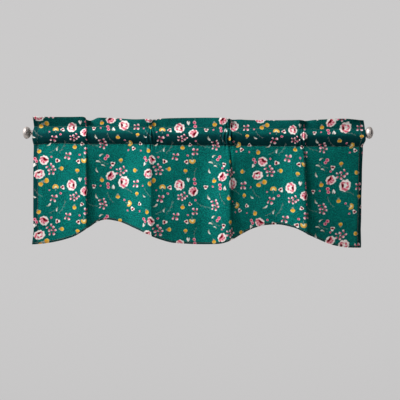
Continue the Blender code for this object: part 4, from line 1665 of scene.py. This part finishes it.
    def relief(self, level: Level, places: Array, back: bool) -> Array:
        """Return how far wrinkles and puckers push a level out of its smooth form."""
        down = level.down
        stitch, seam = self.header_depth, self.header_depth + self.pocket_depth
        layer = self.back_seed if back else self.front_seed
        pinned = np.exp(-(((down - stitch) / self.pinned) ** 2))
        skirt = soft_step((down - seam) / self.wave_start)
        in_pocket = (down > stitch) & (down < seam)
        out = self.stitch_gather * self.gather(down, stitch, self.stitch_reach) * (1 - pinned)
        out += self.seam_gather * self.gather(down, seam, self.seam_reach)
        out += skirt * SKIRT_WAVES.read(places, down, layer)
        out += (0.35 + 0.65 * skirt) * FINE_WAVES.read(places, down, layer)
        out += (down < stitch) * HEADER_WAVES.read(places, down, layer)
        out -= sum(tuck.press(places, down) for tuck in TUCKS) * (down > seam - self.pinned)
        rolled = np.clip(1 - (self.hem_down - down) / self.hem_roll_reach, 0, 1)
        out -= self.hem_roll * rolled**2
        out += in_pocket * POCKET_CRUMPLES.read(places, down, layer)
        out = np.where(in_pocket, np.abs(out), out)
        return np.where(down < stitch, out * (-1 if back else 1), out)

    def surface(self, back: bool) -> tuple[Array, Array, Array]:
        """Work out a layer's middle surface.

        Args:
            back: Whether to work out the back layer.

        Returns:
            Points by level and column, unit normals out of the printed side, and
            flat places with their distance below the header's fold.
        """
        points, flats = [], []
        slope_x = np.gradient(self.plan_x, axis=1)
        slope_y = np.gradient(self.plan_y, axis=1)
        lines = self.lines()
        levels = self.header_levels(lines) + self.pocket_levels(lines, back)
        for level in levels if back else levels + self.skirt_levels(lines):
            places = self.places(level.drop)
            x = self.read_plan(self.plan_x, level.drop, places)
            y = self.read_plan(self.plan_y, level.drop, places) * level.crease
            run_x = self.read_plan(slope_x, level.drop, places)
            run_y = self.read_plan(slope_y, level.drop, places) * level.crease
            length = np.hypot(run_x, run_y)
            out = level.out + self.relief(level, places, back)
            out = -out if back else out
            x = x + run_y / length * out
            for side, edge in (("left", places), ("right", self.flat_width - places)):
                shift = read_rows(EDGE_SHIFTS, side, level.z / MM, along="z") * MM
                x += shift * np.clip(1 - edge / self.edge_reach, 0, 1) ** 2
            points.append(np.stack([x, y - run_x / length * out - level.forward, level.z], axis=1))
            flats.append(np.stack([places, level.down], axis=1))
        points, flats = np.array(points), np.array(flats)
        across = np.gradient(points, axis=1)
        downwards = np.gradient(points, axis=0)
        normals = np.cross(downwards, across) if not back else np.cross(across, downwards)
        normals /= np.linalg.norm(normals, axis=2, keepdims=True)
        return points, normals, flats

    def hems(self, flats: Array) -> tuple[Array, ...]:
        """Measure the turned hems.

        Args:
            flats: Flat places and distances down, by level and column.

        Returns:
            The distances to the side edge and the bottom edge, and how much of the side
            hem and of the bottom hem there is, from 0 to 1.
        """
        edge = np.minimum(flats[..., 0], self.flat_width - flats[..., 0])
        above = self.hem_down - np.abs(flats[..., 1])
        side = 1 - soft_step((edge - self.side_hem) / 0.0015)
        bottom = 1 - soft_step((above - self.bottom_hem) / 0.0010)
        return edge, above, side, bottom

    def half_thickness(self, flats: Array, lift: float) -> Array:
        """Return half the cloth's thickness, with more in the turned side and bottom hems.

        Args:
            flats: Flat places and distances down, by level and column.
            lift: How much the turned hems add.

        Returns:
            Half the thickness, by level and column, with room for three coordinates.
        """
        edge, above, side, bottom = self.hems(flats)
        skirt = flats[..., 1] > self.header_depth + self.pocket_depth
        turned = np.maximum(side, np.where(skirt, bottom, 0.0))
        rolled = 1 - self.edge_thinning * np.exp(-np.maximum(edge, 0) / 0.0012)
        tucked = 1 - self.edge_thinning * np.exp(-np.maximum(above, 0) / 0.0015)
        half = (self.thickness / 2 + lift * turned) * rolled * np.where(skirt, tucked, 1.0)
        return half[..., None]

    def painted_shade_mask(self, flats: Array) -> Array:
        """Return the painted shade on layered cloth: hems, header and pocket."""
        _, _, side, bottom = self.hems(flats)
        down = np.abs(flats[..., 1])
        seam = self.header_depth + self.pocket_depth
        # Full painted shade from the pocket's middle down to the seam, standing in for the shade under
        # its bulge.
        below = soft_step((down - self.header_depth - 0.017) / 0.018)
        doubled = self.header_painted_shade + (1 - self.header_painted_shade) * below
        doubled *= 1 - soft_step((down - seam) / 0.002)
        hemmed = np.maximum(self.side_painted_shade * side, self.hem_painted_shade * bottom * (down > seam))
        return np.maximum(hemmed, doubled)

    def drape(self) -> None:
        """Work out both layers and their outer and inner faces."""
        seam = self.header_rows + self.pocket_rows - 1
        front, out, flats = self.surface(back=False)
        back, out_back, flats_back = self.surface(back=True)
        thick = self.half_thickness(flats, self.hem_back)
        self.seam_row = seam
        self.front = front + out * self.half_thickness(flats, self.hem_front)
        self.out, self.flats = out, flats
        self.reverse = (front - out * thick)[seam + 3:]
        behind = front - out * (thick + self.thickness)
        shift = self.lip_shift
        lips = [behind[seam + 1], behind[seam + 2] * (1 - shift) + front[seam + 2] * shift]
        lips.append((front - out * thick * self.lip_lift)[seam + 2])
        self.lips = np.array(lips)
        self.back = back + out_back * self.half_thickness(flats_back, self.hem_back)
        self.back[seam] = behind[seam]
        self.out_back, self.flats_back = out_back, flats_back
        inside = slice(self.header_rows + 1, seam)
        half = self.thickness / 2
        self.inner_front = (front - out * half)[inside]
        self.inner_back = (back - out_back * half)[inside]
        tip = np.array([0.0, 0.0, self.pocket_tip])
        self.top_tip = (front[self.header_rows] + back[self.header_rows]) / 2 - tip
        self.low_tip = (front - out * self.half_thickness(flats, 0.0))[seam] + tip

    def build(self, name: str, finish: Material) -> Piece:
        """Make the cloth's mesh: one closed thin sheet with the rod's pocket through it.

        Args:
            name: The piece's name.
            finish: The cloth's material.

        Returns:
            The cloth.
        """
        self.drape()
        seam, first = self.seam_row, self.header_rows
        sheet = SheetMesh(len(self.columns))
        front = sheet.rows(self.front)
        reverse = sheet.rows(self.reverse)
        lips = sheet.rows(self.lips)
        back = sheet.rows(self.back)
        inner_front, inner_back = sheet.rows(self.inner_front), sheet.rows(self.inner_back)
        top_tip, low_tip = sheet.rows(self.top_tip[None]), sheet.rows(self.low_tip[None])
        behind = self.flats_back * (1, -1)
        edge = self.flats[seam + 1:seam + 3] * (1, -1)
        printed = np.concatenate((lips[::-1], back[::-1], front))
        flats = np.concatenate((edge[1:], edge[::-1], behind[::-1], self.flats))
        sheet.strip(printed, flats, PRINTED_STRIP, self.painted_shade_mask(flats))
        turned = np.concatenate((front[-1:], reverse[::-1], lips[-1:]))
        ends = self.flats[-1:], self.flats[seam + 2:seam + 3]
        flats = np.concatenate((ends[0], self.flats[:seam + 2:-1], ends[1]))
        sheet.strip(turned, flats, REVERSE_STRIP, self.painted_shade_mask(flats), reverse=True)
        walls = slice(first, seam + 1)
        for inner, flats, tips, strip in (
            (inner_front, self.flats[walls], (top_tip, low_tip), FRONT_WALL_STRIP),
            (inner_back[::-1], self.flats_back[walls][::-1], (low_tip, top_tip), BACK_WALL_STRIP),
        ):
            chain = np.concatenate((tips[0], inner, tips[1]))
            sheet.strip(chain, flats, strip, self.painted_shade_mask(flats), reverse=True, inward=True)
        for side, flip in ((0, False), (-1, True)):
            face, wrong, rear = (grid[:, side] for grid in (front, reverse, back))
            top, low = top_tip[0, side], low_tip[0, side]
            near, far = ([top, *grid[:, side], low] for grid in (inner_front, inner_back))
            loops = [[face[k], rear[k], rear[k + 1], face[k + 1]] for k in range(first - 1)]
            loops.append([face[first - 1], rear[first - 1], rear[first], top, face[first]])
            for k in range(self.pocket_rows - 1):
                row = first + k
                loops.append([face[row], near[k], near[k + 1], face[row + 1]])
                loops.append([far[k], rear[row], rear[row + 1], far[k + 1]])
            loops.append([face[seam], low, rear[seam], *lips[:, side], wrong[0], *face[seam + 3:seam:-1]])
            for k in range(len(wrong) - 1):
                row = seam + 3 + k
                loops.append([face[row], wrong[k], wrong[k + 1], face[row + 1]])
            sheet.cap(loops, flip)
        return sheet.make(name, finish)

    def stitch_lines(self) -> list[tuple[Array, Array]]:
        """Return the sewn lines: points on the cloth's faces and the directions out of them."""
        seam, first = self.seam_row, self.header_rows
        hem = len(self.front) - len(self.hem_rows) + self.hem_rows.index(self.bottom_stitch)
        left = self.side_columns.index(self.side_stitch)
        behind = self.lips[0] * 0.5 + self.back[seam] * 0.5
        lines = [
            (self.front[first], self.out[first]),
            (self.front[seam], self.out[seam]),
            (self.front[hem], self.out[hem]),
            (self.back[first], self.out_back[first]),
            (behind, -self.out[seam + 1]),
            (self.reverse[hem - seam - 3], -self.out[hem]),
        ]
        for column in (left, len(self.columns) - 1 - left):
            lines.append((self.front[:, column], self.out[:, column]))
            lines.append((self.reverse[:, column], -self.out[seam + 3:, column]))
        return lines


@dataclass(frozen=True)
class BakeStrip:
    """A strip's place in the bake map: its start's height there and distance down the cloth."""

    height: float
    down: float


PRINTED_STRIP = BakeStrip(0.99, -0.109)
REVERSE_STRIP = BakeStrip(0.50, 0.106)
FRONT_WALL_STRIP = BakeStrip(0.19, 0.035)
BACK_WALL_STRIP = BakeStrip(0.12, 0.035)


class SheetMesh:
    """Collects a closed sheet's vertices and faces, with a flat place for every corner."""

    BAKE_SCALE = 1 / 1.26
    BAKE_MARGIN = 0.02
    SHARP = 60.0

    def __init__(self, columns: int) -> None:
        """Start a sheet with a number of columns."""
        self.columns = columns
        self.points: list[Array] = []
        self.count = 0
        self.faces: list[list[int]] = []
        self.corner_flats: list[Array] = []
        self.corner_bakes: list[Array] = []
        self.corner_masks: dict[str, list[Array]] = {REVERSE: [], PAINTED_SHADE: []}
        self.vertex_flat: dict[int, tuple[float, float]] = {}
        self.vertex_bake: dict[int, tuple[float, float]] = {}

    def rows(self, points: Array) -> Array:
        """Add rows of points and return their vertex numbers."""
        self.points.append(points.reshape(-1, 3))
        start = self.count
        self.count += len(self.points[-1])
        return np.arange(start, self.count).reshape(-1, self.columns)

    def strip(
        self,
        rows: Array,
        flats: Array,
        strip: BakeStrip,
        painted_shade: Array,
        reverse: bool = False,
        inward: bool = False,
    ) -> None:
        """Join rows into faces.

        Args:
            rows: Vertex numbers, by level and column.
            flats: Flat places and distances down for them.
            strip: Its place in the bake map.
            painted_shade: How much shade is painted on the cloth, by level and column.
            reverse: Whether this is the cloth's wrong side.
            inward: Whether the faces look the other way.
        """
        across = self.BAKE_MARGIN + flats[..., 0] * self.BAKE_SCALE
        height = strip.height - (flats[..., 1] - strip.down) * self.BAKE_SCALE
        bakes = np.stack([across, height], axis=-1)
        start, end = slice(None, -1), slice(1, None)
        parts = [(start, start), (end, start), (end, end), (start, end)]
        if inward:
            parts = [parts[k] for k in (0, 3, 2, 1)]

        def by_corner(values: Array) -> Array:
            """Return values by level, column and corner of each face."""
            return np.stack([values[part] for part in parts], axis=2)

        quads = by_corner(rows).reshape(-1, 4)
        self.faces.extend(quads.tolist())
        prints = printed_places(flats)
        self.corner_flats.append(by_corner(prints).reshape(-1, 2))
        self.corner_bakes.append(by_corner(bakes).reshape(-1, 2))
        self.corner_masks[REVERSE].append(np.full(quads.size, float(reverse)))
        self.corner_masks[PAINTED_SHADE].append(by_corner(painted_shade).ravel())
        for column in (0, -1):
            numbers = rows[:, column].tolist()
            self.vertex_flat.update(zip(numbers, map(tuple, prints[:, column])))
            self.vertex_bake.update(zip(numbers, map(tuple, bakes[:, column])))

    def cap(self, loops: list[list[int]], flip: bool) -> None:
        """Close one side edge with faces."""
        for loop in loops:
            numbers = [int(number) for number in (loop[::-1] if flip else loop)]
            self.faces.append(numbers)
            self.corner_flats.append(np.array([self.vertex_flat[n] for n in numbers]))
            self.corner_bakes.append(np.array([self.vertex_bake[n] for n in numbers]))
            self.corner_masks[REVERSE].append(np.zeros(len(numbers)))
            # The side edges get the full painted shade.
            self.corner_masks[PAINTED_SHADE].append(np.ones(len(numbers)))

    def make(self, name: str, finish: Material) -> Piece:
        """Make the sheet's object.

        Args:
            name: The piece's name.
            finish: Its material.

        Returns:
            The object.
        """
        points = np.concatenate(self.points).tolist()
        sheet = make_piece(name, points, self.faces, finish, self.SHARP)
        for label, stored in ((FLAT_MAP, self.corner_flats), (BAKE_MAP, self.corner_bakes)):
            layer = sheet.data.uv_layers.new(name=label)
            layer.uv.foreach_set("vector", np.concatenate(stored).astype(np.float32).ravel())
        for label, masks in self.corner_masks.items():
            mask = sheet.data.attributes.new(label, "FLOAT", "CORNER")
            mask.data.foreach_set("value", np.concatenate(masks).astype(np.float32))
        return sheet


def link(item: Piece) -> Piece:
    """Put an object into the scene and return it."""
    bpy.context.scene.collection.objects.link(item)
    return item


def make_piece(
    name: str, points: Sequence, faces: Sequence, finish: Material, sharp: float = 180.0
) -> Piece:
    """Make a smooth mesh object in the scene.

    Args:
        name: The piece's name.
        points: Its vertices in metres.
        faces: Vertex numbers of each face.
        finish: Its material.
        sharp: Edges that bend by more than this many degrees stay sharp.

    Returns:
        The object.
    """
    mesh = bpy.data.meshes.new(name)
    mesh.from_pydata(points, [], faces)
    mesh.materials.append(finish)
    mesh.shade_smooth()
    if sharp < 180.0:
        mesh.set_sharp_from_angle(angle=math.radians(sharp))
    return link(bpy.data.objects.new(name, mesh))


def tube_faces(start: int, rings: int, sides: int, ends: tuple[int, int]) -> list[tuple[int, ...]]:
    """Join rings of vertices into a closed tube.

    Args:
        start: Number of the first ring's first vertex.
        rings: How many rings there are.
        sides: How many vertices a ring has.
        ends: Numbers of the vertices in the middle of both ends.

    Returns:
        The faces.
    """
    last = start + (rings - 1) * sides
    faces: list[tuple[int, ...]] = []
    for k in range(sides):
        n = (k + 1) % sides
        for low in range(start, last, sides):
            faces.append((low + k, low + n, low + sides + n, low + sides + k))
        faces.append((ends[0], start + n, start + k))
        faces.append((ends[1], last + k, last + n))
    return faces


@dataclass(frozen=True)
class Stitching:
    """Sewn stitches in metres: each dips into the cloth at both ends."""

    length: float = 0.0027
    gap: float = 0.0007
    radius: float = 0.0003
    rise: float = 0.00014
    sides: int = 5
    marks: tuple[float, ...] = (0.0, 0.12, 0.5, 0.88, 1.0)
    swells: tuple[float, ...] = (0.8, 1.0, 0.8)

    def build(self, name: str, lines: list[tuple[Array, Array]], finish: Material) -> Piece:
        """Sew along lines, as one joined mesh.

        Args:
            name: The piece's name.
            lines: Points of each line and the directions out of the cloth.
            finish: The thread's material.

        Returns:
            The stitches.
        """
        stitches = np.concatenate([self.sew(points, outs) for points, outs in lines])
        rings = len(self.swells)
        per = rings * self.sides + 2
        faces = []
        for start in range(0, len(stitches) * per, per):
            tail = start + per - 1
            faces += tube_faces(start, rings, self.sides, (tail - 1, tail))
        return make_piece(name, stitches.reshape(-1, 3).tolist(), faces, finish)

    def sew(self, points: Array, outs: Array) -> Array:
        """Lay stitches along one line.

        Args:
            points: The line's points on the cloth's face.
            outs: Directions out of the cloth.

        Returns:
            Each stitch's vertices: three rings, then its two ends.
        """
        runs = np.linalg.norm(np.diff(points, axis=0), axis=1)
        along = np.concatenate(([0], np.cumsum(runs)))
        pitch = self.length + self.gap
        starts = np.arange(self.gap, along[-1] - pitch, pitch)
        marks = starts[:, None] + self.length * np.array(self.marks)
        centre = np.stack([np.interp(marks, along, points[:, k]) for k in range(3)], axis=-1)
        out = np.stack([np.interp(marks, along, outs[:, k]) for k in range(3)], axis=-1)
        out /= np.linalg.norm(out, axis=-1, keepdims=True)
        way = centre[:, -1:] - centre[:, :1]
        way = way / np.linalg.norm(way, axis=-1, keepdims=True)
        side = np.cross(out, way)
        height = np.array([-self.radius, 0.0, self.rise, 0.0, -self.radius])
        centre = centre + out * height[:, None]
        rings = []
        for ring, swell in enumerate(self.swells, start=1):
            for k in range(self.sides):
                turn = TURN * k / self.sides
                offset = side[:, ring] * math.cos(turn) + out[:, ring] * math.sin(turn)
                rings.append(centre[:, ring] + offset * self.radius * swell)
        rings += [centre[:, 0], centre[:, -1]]
        return np.stack(rings, axis=1)


# ---- rod and knobs


@dataclass(frozen=True)
class EndKnob:
    """A turned end knob: collar, flared cone, rim bead and domed face with a hub.

    start is in metres, all else in mm along and round its axis. The cone is part of an
    oval, belly high at middle and half long, and a shallow ring is cut into the face.
    """

    side: int
    start: float = 0.5873
    length: float = 27.5
    neck: float = 9.2
    radius: float = 21.5
    flare: float = 11.2
    belly: float = 21.0
    middle: float = 13.8
    half: float = 15.3
    groove: float = 20.0
    bead_end: float = 17.4
    bead_foot: float = 20.3
    bead_height: float = 1.2
    rim: float = 14.6
    ring_radius: float = 13.2
    ring_depth: float = 0.35
    hub_radius: float = 6.2
    hub_height: float = 0.6
    sides: int = 96
    cone_steps: int = 16
    bead_steps: int = 8
    face_steps: int = 35
    sharp: float = 38.0

    def profile(self) -> list[tuple[float, float]]:
        """Return places along the axis and radii, from the neck outwards."""
        points = [(0.0, 0.0), (0.0, self.neck - 0.4)]
        for step in range(self.cone_steps + 1):
            x = 0.2 + (self.flare - 0.2) * step / self.cone_steps
            radius = self.belly * math.sqrt(1 - ((x - self.middle) / self.half) ** 2)
            points.append((x, radius))
        points += [(self.flare + gap, self.groove) for gap in (0.3, 0.6)]
        bead_start = self.flare + 0.8
        middle, half = (bead_start + self.bead_end) / 2, (self.bead_end - bead_start) / 2
        for step in range(self.bead_steps + 1):
            angle = math.pi * step / self.bead_steps
            radius = self.bead_foot + self.bead_height * math.sin(angle)
            points.append((middle - half * math.cos(angle), radius))
        points.append((self.bead_end + 0.2, self.groove - 0.3))
        for step in range(1, self.face_steps + 1):
            angle = math.radians(20 + 69 * step / self.face_steps)
            radius = self.radius * math.cos(angle)
            x = self.rim + (self.length - self.rim - self.hub_height) * math.sin(angle)
            ring = self.ring_depth * math.exp(-(((radius - self.ring_radius) / 0.7) ** 2))
            hub = self.hub_height / (1 + math.exp((radius - self.hub_radius) / 0.35))
            points.append((x - ring + hub, radius))
        points.append((self.length, 0.0))
        return points

    def build(self, finish: Material) -> Piece:
        """Turn the knob and set it over its CAD solid."""
        name = "left" if self.side < 0 else "right"
        first, *rings, last = self.profile()
        angles = [TURN * k / self.sides for k in range(self.sides)]
        points = []
        for along, radius in rings:
            x = self.side * (self.start + along * MM)
            points += [(x, radius * MM * math.cos(a), radius * MM * math.sin(a)) for a in angles]
        count = len(points)
        points += [(self.side * (self.start + end[0] * MM), 0.0, 0.0) for end in (first, last)]
        faces = tube_faces(0, len(rings), self.sides, (count, count + 1))
        if self.side < 0:
            faces = [face[::-1] for face in faces]
        knob = make_piece(f"knob_{name}", points, faces, finish, self.sharp)
        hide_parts(f"finial_{name}")
        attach(knob, BODY)
        return knob


# ---- studio


@dataclass(frozen=True)
class AreaLamp:
    """A soft square lamp: its place, what it looks at, its size and its power in watts."""

    name: str
    place: tuple[float, float, float]
    target: tuple[float, float, float]
    size: float
    power: float

    def build(self) -> Piece:
        """Hang the lamp."""
        lamp = bpy.data.lights.new(self.name, "AREA")
        lamp.shape = "SQUARE"
        lamp.size = self.size
        lamp.energy = self.power
        item = link(bpy.data.objects.new(self.name, lamp))
        item.location = self.place
        way = Vector(self.target) - Vector(self.place)
        item.rotation_euler = way.to_track_quat("-Z", "Y").to_euler()
        return item


@dataclass(frozen=True)
class Studio:
    """Pale surroundings, one soft lamp and the photo's camera."""

    view_width: float = 1.404
    distance: float = 3.2
    middle_x: float = 0.007
    middle_z: float = -0.236
    sensor: float = 36.0
    floor_z: float = -1.45
    floor_size: float = 3.0
    pale: Colour = tint(203, 202, 202)
    dim: Colour = tint(62, 62, 64)
    bright_way: tuple[float, float, float] = (0.0, 0.72, 0.69)
    key: AreaLamp = AreaLamp("key", (-3.23, -1.44, 1.68), (0.0, 0.0, -0.2), size=1.9, power=285.0)

    def build(self) -> None:
        """Make the floor, the world, the lamp and the camera."""
        self.lay_floor()
        self.light()
        self.set_camera()

    def lay_floor(self) -> None:
        """Lay a plain pale floor below the valance."""
        half, z = self.floor_size / 2, self.floor_z
        corners = [(-half, -half, z), (half, -half, z), (half, half, z), (-half, half, z)]
        make_piece("floor", corners, [(0, 1, 2, 3)], FloorFinish().build())

    def light(self) -> None:
        """Light the valance softly from the upper left."""
        world = bpy.data.worlds.new("pale_room")
        world.use_nodes = True
        w = Wiring(world.node_tree)
        direction = w.node("ShaderNodeTexCoord").outputs["Generated"]
        facing = w.step(w.vector("DOT_PRODUCT", direction, self.bright_way), -0.5, 0.7)
        colour = w.mix(facing, self.dim, self.pale)
        w.feed(world.node_tree.nodes["Background"], Color=colour)
        bpy.context.scene.world = world
        self.key.build()

    def set_camera(self) -> None:
        """Set the camera level in front, as in the photo."""
        lens = bpy.data.cameras.new("camera")
        lens.sensor_width = self.sensor
        lens.lens = self.sensor * self.distance / self.view_width
        camera = link(bpy.data.objects.new("camera", lens))
        camera.location = (self.middle_x, -self.distance, self.middle_z)
        camera.rotation_euler = (math.pi / 2, 0.0, 0.0)
        bpy.context.scene.camera = camera
        bpy.context.scene.view_settings.view_transform = "Standard"


def main() -> None:
    """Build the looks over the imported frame."""
    logging.basicConfig(level=logging.INFO, format="%(message)s")
    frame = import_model()
    weave, scuffs = woven_group(), scuff_group()
    flowers = FlowerPrint(Repeat(), PrintInks()).build()
    nickel = NickelFinish()
    cloth = ValanceCloth()
    panel = cloth.build("valance_panel", ClothFinish().build(weave, flowers))
    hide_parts("valance_cloth")
    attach(panel, BODY)
    threads = Stitching().build("sewn_stitches", cloth.stitch_lines(), ThreadFinish().build(scuffs))
    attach(threads, BODY)
    knob_finish = nickel.build(scuffs, "nickel_knobs")
    knobs = [EndKnob(side).build(knob_finish) for side in (-1, 1)]
    frame["nodes"]["rod"].material_slots[0].material = nickel.build(scuffs, "nickel_rod")
    Studio().build()
    for piece in (panel, threads, *knobs):
        LOG.info("%s: %d faces", piece.name, len(piece.data.polygons))


if __name__ == "__main__":
    main()
